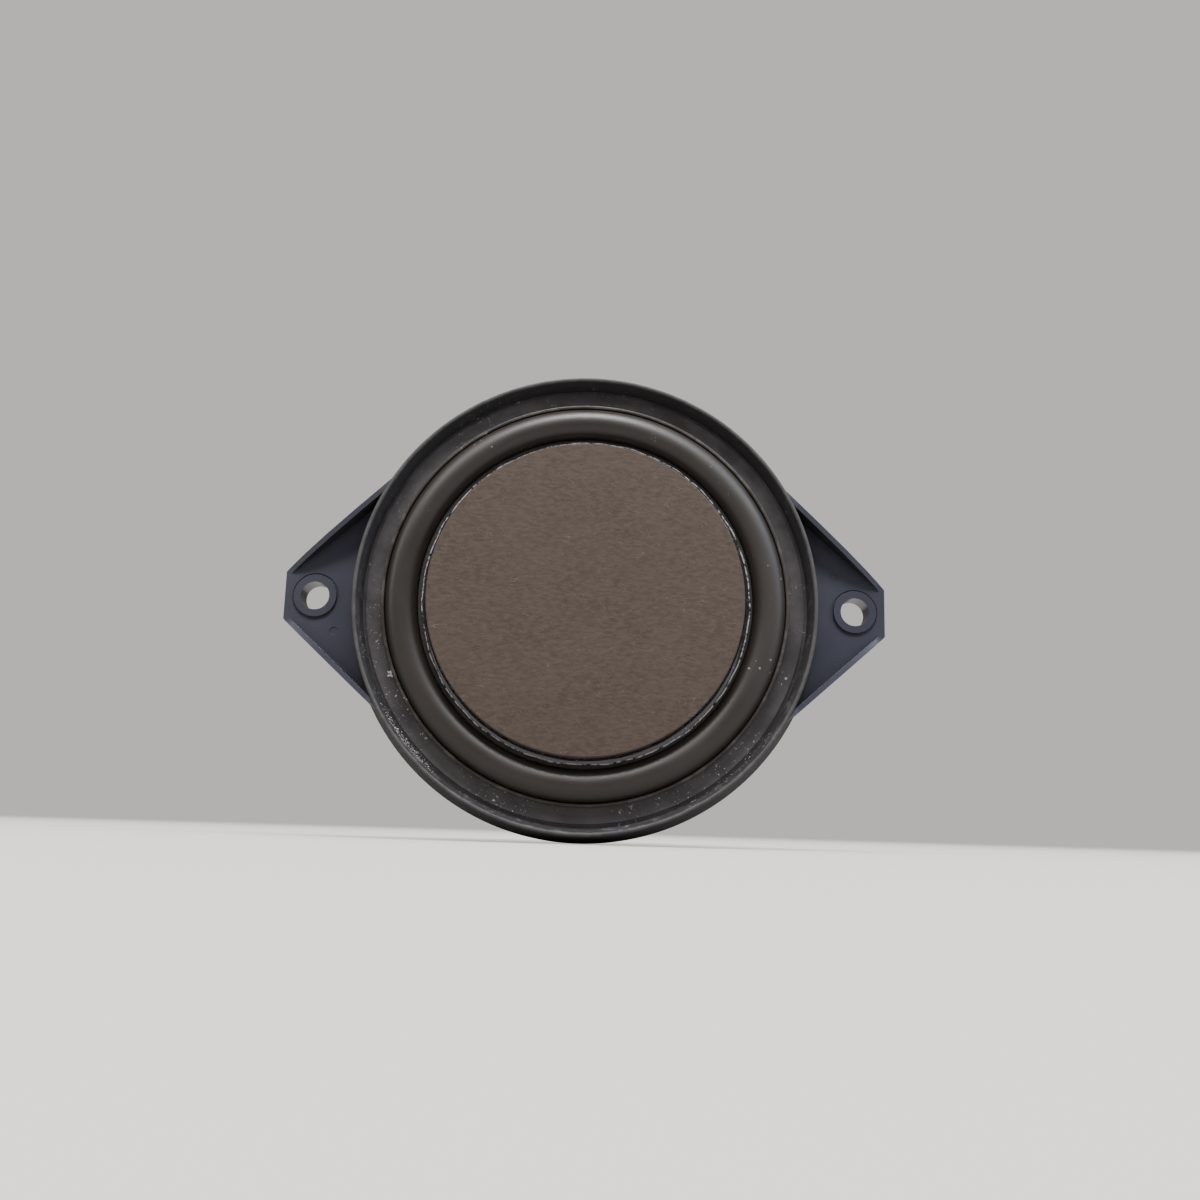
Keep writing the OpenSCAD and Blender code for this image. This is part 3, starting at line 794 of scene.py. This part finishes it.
frame_outline = [
    (THROAT_R, LAND), (LAND_R, LAND), (LAND_R + 0.04, LAND - GROOVE_DEEP),
    (LAND_R + 0.66, LAND - GROOVE_DEEP), (LAND_R + 0.8, LAND - 0.1), *rim_points(),
    (RING_R, RING_BACK + 0.8), (RING_R - 0.4, RING_BACK), WALL_TOP, WALL_FOOT,
    (WALL_FOOT[0], FLOOR), (FLOOR_HOLE_R, FLOOR), (FLOOR_HOLE_R, FLOOR + FLOOR_THICK),
    (WELL_R, FLOOR + FLOOR_THICK), (WELL_R, LEDGE - LEDGE_THICK), (LEDGE_R, LEDGE - LEDGE_THICK),
    (LEDGE_R, LEDGE), (wall_inner(height=LEDGE), LEDGE),
    (THROAT_R, wall_inner(radius=THROAT_R))]
moulding = turn("frame_moulding", frame_outline, steps=FINE_STEPS)
print("frame cross-section has", len(frame_outline), "points")

# %% [markdown]
# ### Windows and pockets
# A cutter is a short spin: its outline is turned through a few degrees, its two ends are filled,
# and copies are turned round the axis and joined into one object for a single boolean.

# %% Cutting the frame
WINDOWS, WINDOW_ANGLE = 12, 17.8
WINDOW_SPAN, WINDOW_THROUGH = (3.8, 11.6), (-0.8, 1.4)   # along the wall from its foot; across it
POCKET_R, POCKET_DEEP, POCKET_ANGLE, POCKET_STEP = (39.9, 42.2), 3.2, 13, 15
SOLID_BESIDE_EAR = 36.3               # from the ear line to this angle the ring has no pockets


def wedge(name, outline, angle, steps=8):
    """A closed piece of a turned ring, centred on the +X direction."""
    piece = draw_outline(name, [(r, -h, 0) for r, h in outline])
    bpy.ops.mesh.select_all(action="SELECT")
    bpy.ops.transform.rotate(value=math.radians(angle / 2), orient_axis="Y",
                             center_override=(0, 0, 0))
    bpy.ops.mesh.edge_face_add()
    bpy.ops.mesh.spin(steps=steps, angle=math.radians(angle), center=(0, 0, 0), axis=(0, 1, 0))
    return finish_piece(piece)


def copies_round(piece, angles):
    """Copies of piece turned round the axis to these angles, joined into one; piece goes."""
    copies = []
    for angle in angles:
        copy = piece.copy()
        copy.data = piece.data.copy()
        copy.data.transform(Matrix.Rotation(math.radians(angle), 4, "Y"))
        bpy.context.scene.collection.objects.link(copy)
        copies.append(copy)
    deselect_all()
    for copy in copies:
        copy.select_set(True)
    bpy.context.view_layer.objects.active = copies[0]
    if len(copies) > 1:
        bpy.ops.object.join()
    bpy.data.objects.remove(piece)
    return bpy.context.object


def carve(piece, cutter, operation="DIFFERENCE"):
    deselect_all()
    piece.select_set(True)
    bpy.context.view_layer.objects.active = piece
    cut = piece.modifiers.new("cut", "BOOLEAN")
    cut.operation, cut.solver, cut.object = operation, "EXACT", cutter
    bpy.ops.object.modifier_apply(modifier=cut.name)
    bpy.data.objects.remove(cutter)


def along_wall(distance, across):
    point = Vector(WALL_FOOT) + distance * WALL_DIR + across * WALL_IN
    return (point.x, point.y)


window = wedge("window", [along_wall(*p) for p in rectangle(WINDOW_SPAN, WINDOW_THROUGH)],
               WINDOW_ANGLE)
window_step = 360 / WINDOWS
carve(moulding, copies_round(window, [window_step * (i + 0.5) for i in range(WINDOWS)]))
pocket_outline = rectangle(POCKET_R, (RING_BACK - 1, RING_BACK + POCKET_DEEP))
pocket = wedge("pocket", pocket_outline, POCKET_ANGLE)
pocket_angles = [angle for angle in range(0, 360, POCKET_STEP)
                 if abs(math.sin(math.radians(angle))) > math.sin(math.radians(SOLID_BESIDE_EAR))]
carve(moulding, copies_round(pocket, pocket_angles))
print("windows:", WINDOWS, "pockets:", len(pocket_angles))

# %% [markdown]
# ### Ears
# Each ear is a flat triangular plate behind the rim with a rib along both slanted edges and a
# boss round the screw hole. One ear is modelled at +X by filling and extruding outlines, and its
# mirror image makes the other. The ribs stand highest where they meet the rim and fade out at
# the tip, which makes the ear stiff where it bends most.

# %% Ear
EAR_REACH, EAR_TIP, EAR_JOIN, EAR_FRONT, EAR_RIB = RING_HIGH.x / MM, 9.0, 30.3, 4.4, 0.95
JOIN_X, JOIN_Z = (RIM_R * math.cos(math.radians(EAR_JOIN)), RIM_R * math.sin(math.radians(EAR_JOIN)))
HOLE_X, HOLE_R, BOSS_R, BOSS_FRONT = 50.8, 2.65, 4.0, 4.85
MARK, MARK_R = (46.9, 6.6), 0.8       # left by the pin that pushed the ear out of its mould


def slab(name, outline, thickness, direction):
    """A filled outline of points in millimetres, extruded along direction."""
    piece = draw_outline(name, outline)
    bpy.ops.mesh.select_all(action="SELECT")
    bpy.ops.mesh.edge_face_add()
    bpy.ops.mesh.extrude_region_move(
        TRANSFORM_OT_translate={"value": Vector(direction).normalized() * thickness * MM})
    return finish_piece(piece)


def ear_plate():
    corners = [(EAR_REACH, -EAR_TIP / 2), (EAR_REACH, EAR_TIP / 2), (JOIN_X, JOIN_Z),
               (JOIN_X - 1, JOIN_Z - 1), (JOIN_X - 1, 1 - JOIN_Z), (JOIN_X, -JOIN_Z)]
    return slab("ear", [(x, -RING_BACK, z) for x, z in corners], EAR_FRONT - RING_BACK, (0, -1, 0))


def ear_rib(side):
    tip = Vector((EAR_REACH, side * EAR_TIP / 2))
    join = Vector((JOIN_X, side * JOIN_Z))
    run = (join - tip).normalized()
    length = (join - tip).length
    inward = Vector((-run.y, run.x)) * side
    high = RIM_FRONT - 0.15 - EAR_FRONT
    slope = [(length * along, EAR_FRONT + high * up)
             for along, up in ((1, 1), (0.7, 0.82), (0.4, 0.58), (0.2, 0.34), (0.08, 0.14))]
    profile = [(0.1, RING_BACK), (length + 1.2, RING_BACK), (length + 1.2, EAR_FRONT + high),
               *slope, (0.2, EAR_FRONT - 0.1)]
    start = tip - inward * 0.05
    points = [(start.x + run.x * s, -h, start.y + run.y * s) for s, h in profile]
    return slab("rib", points, EAR_RIB, (inward.x, 0, inward.y))


def tube_at(name, x, outer, low, high, segments=64):
    bpy.ops.mesh.primitive_cylinder_add(
        vertices=segments, radius=outer * MM, depth=(high - low) * MM,
        location=(x * MM, -(high + low) / 2 * MM, 0), rotation=(math.radians(90), 0, 0))
    piece = bpy.context.object
    piece.name = name
    return finish_piece(piece)


def ear():
    plate = ear_plate()
    for side in (1, -1):
        carve(plate, ear_rib(side), "UNION")
    carve(plate, tube_at("boss", HOLE_X, BOSS_R, 0, BOSS_FRONT), "UNION")
    moat = tube_at("moat", HOLE_X, BOSS_R + 0.32, EAR_FRONT - 0.15, BOSS_FRONT + 1)
    carve(moat, tube_at("core", HOLE_X, BOSS_R, EAR_FRONT - 1, BOSS_FRONT + 2))
    carve(plate, moat)
    carve(plate, tube_at("screw hole", HOLE_X, HOLE_R, -2, BOSS_FRONT + 2))
    mark = tube_at("ejector mark", MARK[0], MARK_R, EAR_FRONT - 0.12, EAR_FRONT + 1, 32)
    mark.data.transform(Matrix.Translation((0, 0, MARK[1] * MM)))
    carve(plate, mark)
    carve(plate, tube_at("rim bore", 0, RIM_R - RIM_WALL + 0.12, LAND - 0.4, RIM_FRONT + 3,
                         FINE_STEPS))
    return finish_piece(plate, bevel=0.16, segments=3)


right_ear = ear()
left_ear = right_ear.copy()
left_ear.data = right_ear.data.copy()
bpy.context.scene.collection.objects.link(left_ear)
deselect_all()
left_ear.select_set(True)
bpy.context.view_layer.objects.active = left_ear
bpy.ops.transform.mirror(constraint_axis=(True, False, True), center_override=(0, 0, 0))
finish_piece(left_ear)
finish_piece(moulding, bevel=0.13)
print("one ear has", len(right_ear.data.polygons), "faces")

# %% [markdown]
# ### One moulding
# Ring, ears and the post for the terminal board are one shot of plastic, so they are united with a
# boolean. Only laying them together would leave faces inside each other. The edges were broken
# before that, and normals weighted by face size keep the large flats even beside them.

# %% Join the moulding
POST_R, POST_LOW, POST_HIGH, BOARD_Z = 2.4, -5.6, 1, 34.0


def join_into(piece, *others):
    deselect_all()
    for other in [piece, *others]:
        other.select_set(True)
    bpy.context.view_layer.objects.active = piece
    bpy.ops.object.join()
    return piece


def even_shading(piece):
    """Weights the normals by face size, so large flats stay flat beside small bevels."""
    weights = piece.modifiers.new("weighted normals", "WEIGHTED_NORMAL")
    weights.keep_sharp = True
    bpy.ops.object.modifier_apply(modifier=weights.name)


def board_post():
    post = tube_at("post", 0, POST_R, POST_LOW, POST_HIGH)
    post.data.transform(Matrix.Translation((0, 0, BOARD_Z * MM)))
    return post


for part in (right_ear, left_ear, board_post()):
    carve(moulding, part, "UNION")
finish_piece(moulding)
even_shading(moulding)
moulding.data.materials.clear()
moulding.data.materials.append(PLASTIC)
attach(moulding, "frame_and_motor")
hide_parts("basket")
print("frame moulding:", len(moulding.data.polygons), "faces")

# %% [markdown] ## The rubber edge The roll is a half round of rubber with a thin land glued
# under the cone's lip and a thick lip on the outside that sits on the ring.

# %% Rubber edge
EDGE_IN, LIP_UNDER, SKIN = 29.6, 7.9, 0.5
ROLL_MIDDLE, ROLL_HALF, ROLL_HIGH = 34.1, 2.8, 2.6
LIP_IN, LIP_OUT, LIP_FRONT = 36.4, 37.85, 8.6
GLUED_TO = 31.2                       # inside this radius the rubber moves fully with the cone


def share_by_radius(piece, inner, outer):
    """Radial shares for a blended ring: 0 at the outer radius, 1 at the inner one."""
    shares = piece.data.attributes["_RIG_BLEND"].data
    for vertex, share in zip(piece.data.vertices, shares):
        radius = math.hypot(vertex.co.x, vertex.co.z) / MM
        t = min(max((outer - radius) / (outer - inner), 0), 1)
        share.value = t * t * (3 - 2 * t)


def dress(piece, material, body=None, node=None):
    piece.data.materials.clear()
    piece.data.materials.append(material)
    if body:
        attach(piece, body)
    if node:
        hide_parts(node)
    return piece


def rubber_edge():
    root = LIP_UNDER - SKIN
    outer = arc((ROLL_MIDDLE, root + SKIN / 2), (ROLL_HALF + SKIN / 2, ROLL_HIGH), 180, 0, 28)
    inner = arc((ROLL_MIDDLE, root), (ROLL_HALF - SKIN / 2, ROLL_HIGH - SKIN / 2), 0, 180, 28)
    lip = [(LIP_IN + 0.7, LIP_FRONT - 0.75), (LIP_IN + 0.78, LIP_FRONT - 0.25),
           *arc((LIP_IN + 1.0, LIP_FRONT - 0.2), 0.2, 170, 90, 4),
           *arc((LIP_OUT - 0.22, LIP_FRONT - 0.22), 0.22, 90, 0, 5)]
    top = LIP_UNDER - 0.01
    outline = [(EDGE_IN, root), (EDGE_IN, top), (31.05, top), *outer, *lip, (LIP_OUT, LAND + 0.01),
               (LIP_IN - 0.4, LAND + 0.01), (LIP_IN - 0.4, root), *inner]
    return turn("rubber_edge", outline, steps=FINE_STEPS, smooth=50)


edge = dress(rubber_edge(), RUBBER, node="surround")
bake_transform(edge, "frame_and_motor", "diaphragm", start=(0, 0, LIP_IN * MM),
         end=(0, 0, GLUED_TO * MM))
share_by_radius(edge, GLUED_TO, LIP_IN)
print("rubber edge:", len(edge.data.polygons), "faces")

# %% [markdown]
# ## The disc
# A flat paper disc with a turned-down edge closes the cone and works as the dust cap. The bend
# has a small radius, as pressed paper has, so it is drawn as an arc in the outline.

# %% Disc
DISC_R, DISC_FRONT, DISC_BACK, DISC_WALL = 29.2, 11.9, 8.3, 0.4


def front_disc():
    bend = arc((DISC_R - 0.3, DISC_FRONT - 0.3), 0.3, 90, 10, 6)
    inner = DISC_R - DISC_WALL
    outline = [(0, DISC_FRONT - DISC_WALL), (0, DISC_FRONT), (14, DISC_FRONT), *bend,
               (DISC_R, DISC_BACK), (inner, DISC_BACK), (inner, DISC_FRONT - DISC_WALL)]
    return turn("front_disc", outline, steps=FINE_STEPS, smooth=50)


disc = dress(front_disc(), DISC_PAPER, "diaphragm", "front_disc")
print("disc:", len(disc.data.polygons), "faces")

# %% [markdown]
# ## The glue bead
# The disc was set in a ring of glue that squeezed out all round, wider in some places than in
# others. Wet glue climbs the wall it touches, so the bead is spun as a hollow fillet with a thin
# foot. Its points are then pushed in and out by a smooth random wave, because a perfect ring would
# look machined.

# %% Glue bead
BEAD_R, BEAD_LOW, BEAD_FOOT_R = 29.22, 8.32, 30.4


def wave_round(seed, parts):
    """A smooth random wave round the axis between about -1 and 1."""
    state = random.Random(seed)
    terms = [(state.uniform(0.4, 1), n, state.uniform(0, 6.28)) for n in parts]
    total = sum(size for size, _, _ in terms)
    return lambda angle: sum(size * math.sin(n * angle + shift)
                             for size, n, shift in terms) / total * 1.6


def glue_bead():
    hollow = arc((30.5, 9.55), (1.28, 1.13), 180, 268, 12)
    outline = [(BEAD_R, BEAD_LOW), *hollow, (30.6, 8.46), (30.66, 8.4), (30.64, BEAD_LOW)]
    piece = turn("glue_bead", outline, steps=360, smooth=60)
    wide, high = wave_round(3, (2, 3, 5, 9, 14, 23, 37)), wave_round(8, (3, 7, 11, 19, 31, 43))
    foot = piece.data.attributes.new("thin_foot", "FLOAT", "POINT").data
    for vertex in piece.data.vertices:
        angle = math.atan2(vertex.co.z, vertex.co.x)
        radius, height = math.hypot(vertex.co.x, vertex.co.z) / MM, -vertex.co.y / MM
        foot[vertex.index].value = float(radius > BEAD_FOOT_R)
        out = max(radius - BEAD_R, 0) * (0.84 + 0.1 * wide(angle) + 0.1 * math.cos(angle))
        up = (height - BEAD_LOW) * (0.88 + 0.1 * high(angle))
        radius, height = BEAD_R + out, BEAD_LOW + up
        vertex.co = Vector((radius * math.cos(angle), -height, radius * math.sin(angle))) * MM
    return piece


bead = dress(glue_bead(), GLUE, "diaphragm", "glue_bead")
print("bead:", len(bead.data.polygons), "faces")

# %% [markdown]
# ## The cone and the coil
# Behind the disc a black paper cone runs down to the voice coil. It is a thin turned shell. Its
# back shows through the frame's windows. The coil, its film tube and the neck's glue sit deep in
# the motor and keep their CAD shape, because only their colour can be seen.

# %% Cone
NECK_R, CONE_WALL = 13.07, 0.4
cone_outline = [
    (31.0, 8.29), (28.2, 8.29), (24.0, 5.28), (19.0, 1.94), (NECK_R + CONE_WALL, -1.55),
    (NECK_R, -1.55), (NECK_R, -3.5), (NECK_R + CONE_WALL, -3.5), (NECK_R + CONE_WALL, -2.0),
    (19.0, 1.5), (24.0, 4.86), (28.45, 7.91), (31.0, 7.91)]
cone = dress(turn("cone", cone_outline, bevel=0.08), CONE_PAPER, "diaphragm", "cone")


def refinish(node, material):
    """Gives a CAD node that keeps its shape a better material."""
    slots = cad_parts[node].data.materials
    slots.clear()
    slots.append(material)


refinish("coil_former", FILM)
refinish("voice_coil", COPPER)
refinish("neck_glue", GLUE)
print("cone:", len(cone.data.polygons), "faces")

# %% [markdown]
# ## The spider
# The spider is a disc of cloth, dipped in resin and pressed into rings, that keeps the coil in
# the middle of the gap. Like the rubber edge it is held outside and moves inside.

# %% Spider
SPIDER_IN, SPIDER_OUT, SPIDER_MID, CLOTH_T = 14.4, 22.0, LEDGE + 0.275, 0.35
FLANGE_IN, FLANGE_OUT = 22.3, 25.4
WAVES, WAVE_HIGH, CLOTH_STEPS = 5, 0.55, 80


def cloth_point(i, side):
    """A point on the front (side 1) or the back (side -1) of the pressed cloth."""
    part = i / CLOTH_STEPS
    wave = WAVE_HIGH * math.sin(2 * math.pi * WAVES * part)
    return (SPIDER_IN + (SPIDER_OUT - SPIDER_IN) * part, SPIDER_MID + side * CLOTH_T / 2 + wave)


CLOTH_FRONT, CLOTH_BACK = SPIDER_MID + CLOTH_T / 2, SPIDER_MID - CLOTH_T / 2
front_side = [cloth_point(i, 1) for i in range(CLOTH_STEPS + 1)]
back_side = [cloth_point(i, -1) for i in range(CLOTH_STEPS, -1, -1)]
spider = turn("spider", [(NECK_R, CLOTH_BACK), (NECK_R, CLOTH_FRONT), *front_side,
                         (FLANGE_OUT, CLOTH_FRONT), (FLANGE_OUT, LEDGE + 0.02),
                         (FLANGE_IN, LEDGE + 0.02), *back_side], smooth=60)
dress(spider, CLOTH, node="spider")
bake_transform(spider, "frame_and_motor", "diaphragm", start=(0, 0, SPIDER_OUT * MM),
         end=(0, 0, SPIDER_IN * MM))
share_by_radius(spider, SPIDER_IN, SPIDER_OUT)
print("spider:", len(spider.data.polygons), "faces")

# %% [markdown]
# ## The motor
# A ferrite ring sits between two zinc-plated steel plates, and the rear plate and the pole are one
# forging. Steel plates get a fine broken edge and the brittle ferrite a wider one. Four screws
# hold the motor to the frame's floor.

# %% Plates and magnet
PLATE_TOP, MAGNET_TOP, MAGNET_LOW, YOKE_LOW = FLOOR, -15.8, -25.8, -29.8
POLE_R, PLATE_R, MAGNET_R = 12.45, 27.0, 27.5
PLATE_BORE_R, MAGNET_BORE_R = 14.0, 16.5
plate_outline = rectangle((PLATE_BORE_R, PLATE_R), (MAGNET_TOP, PLATE_TOP))
magnet_outline = rectangle((MAGNET_BORE_R, MAGNET_R), (MAGNET_LOW, MAGNET_TOP))
yoke_outline = [
    (0, YOKE_LOW + 0.8), (2.2, YOKE_LOW + 0.8), (3.0, YOKE_LOW), (20.6, YOKE_LOW),
    (20.8, YOKE_LOW + 0.12), (21.0, YOKE_LOW), (PLATE_R, YOKE_LOW), (PLATE_R, MAGNET_LOW),
    (POLE_R + 1.2, MAGNET_LOW), (POLE_R, MAGNET_LOW + 1.2), (POLE_R, PLATE_TOP), (0, PLATE_TOP)]
top_plate = turn("top_plate", plate_outline, bevel=0.5)
dress(top_plate, STEEL, "frame_and_motor", "top_plate")
magnet = turn("magnet", magnet_outline, bevel=0.6)
dress(magnet, FERRITE, "frame_and_motor", "magnet")
yoke = turn("yoke", yoke_outline, bevel=0.45, smooth=30)
dress(yoke, STEEL, "frame_and_motor", "yoke")
print("motor is", 2 * MAGNET_R, "mm across")

# %% [markdown]
# ### Screws
# Four pan heads with a cross recess hold the motor. Only their heads are modelled again, inside
# the frame's well, since the shanks are buried in plate and plastic. Two crossed bars cut the
# recess in one head, and copies of it go round.

# %% Screws
SCREW_CIRCLE_R, HEAD_R, HEAD_EDGE, HEAD_HIGH = 19.5, 2.6, 0.9, 1.7


def pan_screw():
    """A pan head with a cross recess, its seat on the frame's floor."""
    seat = FLOOR + FLOOR_THICK
    crown = arc((1.3, seat + 0.7), (1.28, 1.0), 20, 90, 8)
    head = turn("screws", [(0, seat), (HEAD_R, seat), (HEAD_R, seat + HEAD_EDGE), *crown,
                           (0, seat + HEAD_HIGH)], bevel=0.06, steps=48)
    for size in ((2.6, 0.7), (0.7, 2.6)):
        bpy.ops.mesh.primitive_cube_add(size=MM, location=(0, -(seat + HEAD_HIGH) * MM, 0))
        bar = bpy.context.object
        bpy.ops.transform.resize(value=(size[0], 1.7, size[1]))
        bpy.ops.object.transform_apply(location=True, rotation=True, scale=True)
        carve(head, bar)
    head.data.transform(Matrix.Translation((SCREW_CIRCLE_R * MM, 0, 0)))
    return finish_piece(head, bevel=0.05, segments=1)


screws = dress(copies_round(pan_screw(), (45, 135, 225, 315)), SCREW_STEEL, "frame_and_motor",
               "motor_screws")
screws.name = "motor_screw_heads"
print("screws:", len(screws.data.polygons), "faces")

# %% [markdown]
# ## The terminals
# A small moulded board is riveted behind the frame's top spoke. Its back has a shallow panel
# with a raised border, made by insetting one face and pushing it in.

# %% Board and rivet
BOARD_FRONT, BOARD_SIZE = POST_LOW, (17, 1.6, 7.2)   # its size along X, Y and Z


def box_piece(name, size, middle):
    """A block of size (x, y, z) in millimetres round middle, ready for a bevel."""
    deselect_all()
    bpy.ops.mesh.primitive_cube_add(size=MM, location=Vector(middle) * MM)
    piece = bpy.context.object
    piece.name = name
    bpy.ops.transform.resize(value=size)
    return finish_piece(piece)


board = box_piece("terminal_board", BOARD_SIZE, (0, BOARD_SIZE[1] / 2 - BOARD_FRONT, BOARD_Z))
bpy.ops.object.mode_set(mode="EDIT")
net = bmesh.from_edit_mesh(board.data)
bpy.ops.mesh.select_all(action="DESELECT")
for face in net.faces:
    face.select = face.normal.y > 0.9
bmesh.update_edit_mesh(board.data)
bpy.ops.mesh.inset(thickness=0.7 * MM)
bpy.ops.mesh.extrude_region_move(TRANSFORM_OT_translate={"value": (0, -0.3 * MM, 0)})
finish_piece(board, bevel=0.12)
dress(board, BOARD, "frame_and_motor", "terminal_board")
rivet_outline = [(0, -8.1), (0.7, -8.1), (1.0, -7.8), (1.2, -8.1), (1.7, -7.9), (2.1, -7.2),
                 (1.18, -7.2), (1.18, -5.0), (0, -5.0)]
rivet = turn("board_rivet", rivet_outline, bevel=0.08, steps=48)
rivet.data.transform(Matrix.Translation((0, 0, BOARD_Z * MM)))
dress(rivet, TIN, "frame_and_motor", "board_rivet")
print("board:", len(board.data.polygons), "rivet:", len(rivet.data.polygons), "faces")

# %% [markdown]
# ### Blades, leads and joints
# The board holds two blades, the plus one wider. Two thin braided leads go from the blades' tails
# through the windows to the back of the cone. They are fixed at both ends, so one end rides with
# the frame and the other with the cone. Solder and glue are slightly uneven drops.

# %% Blades, leads and joints
BLADE_X, BLADE_THICK = 5.2, 0.8
LEAD_R, LEAD_SAG = 0.5, 0.6
LEAD_CONE, LEAD_TAIL = Vector((21.1, 2.27)), Vector((32.75, -4.0))   # ends as (z, height)
SOLDER_SIZE, DAB_SIZE, DAB_TILT = (0.75, 0.6, 0.35), (1.7, 1.0, 1.7), -32


def blade(name, side, width):
    """A flat blade with bevelled tip corners and a narrow tail."""
    tip, tail, collar, half = -15.2, -3.6, BOARD_FRONT + 0.7, width / 2
    outline = [(-half, tip + 0.8), (0.7 - half, tip), (half - 0.7, tip), (half, tip + 0.8),
               (half, collar), (1.1, collar), (1.1, tail), (-1.1, tail), (-1.1, collar),
               (-half, collar)]
    corners = [(side * BLADE_X + x, -h, BOARD_Z - BLADE_THICK / 2) for x, h in outline]
    piece = slab(name, corners, BLADE_THICK, (0, 0, 1))
    carve(piece, tube_through(side * BLADE_X, tip + 2.6))
    return finish_piece(piece, bevel=0.14)


def tube_through(x, height):
    """The round catch hole near a blade's tip."""
    deselect_all()
    bpy.ops.mesh.primitive_cylinder_add(vertices=32, radius=0.65 * MM, depth=4 * MM,
                                        location=(x * MM, -height * MM, BOARD_Z * MM))
    return finish_piece(bpy.context.object)


def lead(name, side):
    """A thin round lead in a shallow arc, spun about the arc's own middle."""
    chord = LEAD_TAIL - LEAD_CONE
    bend = (chord.length ** 2 / 4 + LEAD_SAG * LEAD_SAG) / (2 * LEAD_SAG)
    half = math.asin(chord.length / 2 / bend)
    up = Vector((-chord.y, chord.x)).normalized()
    middle = (LEAD_CONE + LEAD_TAIL) / 2 + up * (bend - LEAD_SAG)
    away = (LEAD_CONE - middle).normalized()
    cone_end, tail_end, pivot = ((side * BLADE_X * MM, -point.y * MM, point.x * MM)
                                 for point in (LEAD_CONE, LEAD_TAIL, middle))
    deselect_all()
    bpy.ops.mesh.primitive_circle_add(
        vertices=20, radius=LEAD_R * MM, fill_type="NGON", location=cone_end,
        rotation=(math.atan2(away.x, -away.y) + math.radians(90), 0, 0))
    piece = bpy.context.object
    piece.name = name
    deselect_all()
    piece.select_set(True)
    bpy.context.view_layer.objects.active = piece
    bpy.ops.object.transform_apply(location=True, rotation=True, scale=True)
    bpy.ops.object.mode_set(mode="EDIT")
    bpy.ops.mesh.select_all(action="SELECT")
    bpy.ops.mesh.spin(steps=40, angle=-2 * half, center=pivot, axis=(1, 0, 0))
    finish_piece(piece)
    dress(piece, BRAID, node=name.replace("_wire", ""))
    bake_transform(piece, "frame_and_motor", "diaphragm", start=tail_end, end=cone_end)
    return piece


def blob(size, middle, tilt=0):
    """A drop of glue or solder: a sphere pressed flat, size (x, y, z) in millimetres."""
    deselect_all()
    bpy.ops.mesh.primitive_uv_sphere_add(
        segments=24, ring_count=14, radius=MM, location=Vector(middle) * MM,
        rotation=(math.radians(tilt), 0, 0), scale=size)
    piece = bpy.context.object
    for vertex in piece.data.vertices:
        vertex.co *= 1 + 0.08 * math.sin(vertex.co.x * 2900 + 2) * math.cos(vertex.co.z * 2300 + 1)
    return finish_piece(piece)


for side, name, width in ((1, "terminal_plus", 4.8), (-1, "terminal_minus", 2.8)):
    dress(blade(name + "_blade", side, width), TIN, "frame_and_motor", name)
leads = [lead("lead_plus_wire", 1), lead("lead_minus_wire", -1)]
solder = join_into(*(blob(SOLDER_SIZE, (x, 4.35, BOARD_Z - 0.5)) for x in (BLADE_X, -BLADE_X)))
solder.name = "solder_drops"
dress(solder, SOLDER, "frame_and_motor", "solder_joints")
dabs = join_into(*(blob(DAB_SIZE, (x, -2.45, 20.5), DAB_TILT) for x in (BLADE_X, -BLADE_X)))
dabs.name = "lead_glue_dabs"
dress(dabs, GLUE, "diaphragm", "lead_glue")
print("leads:", [len(piece.data.polygons) for piece in leads], "faces each")

# %% [markdown]
# ## End
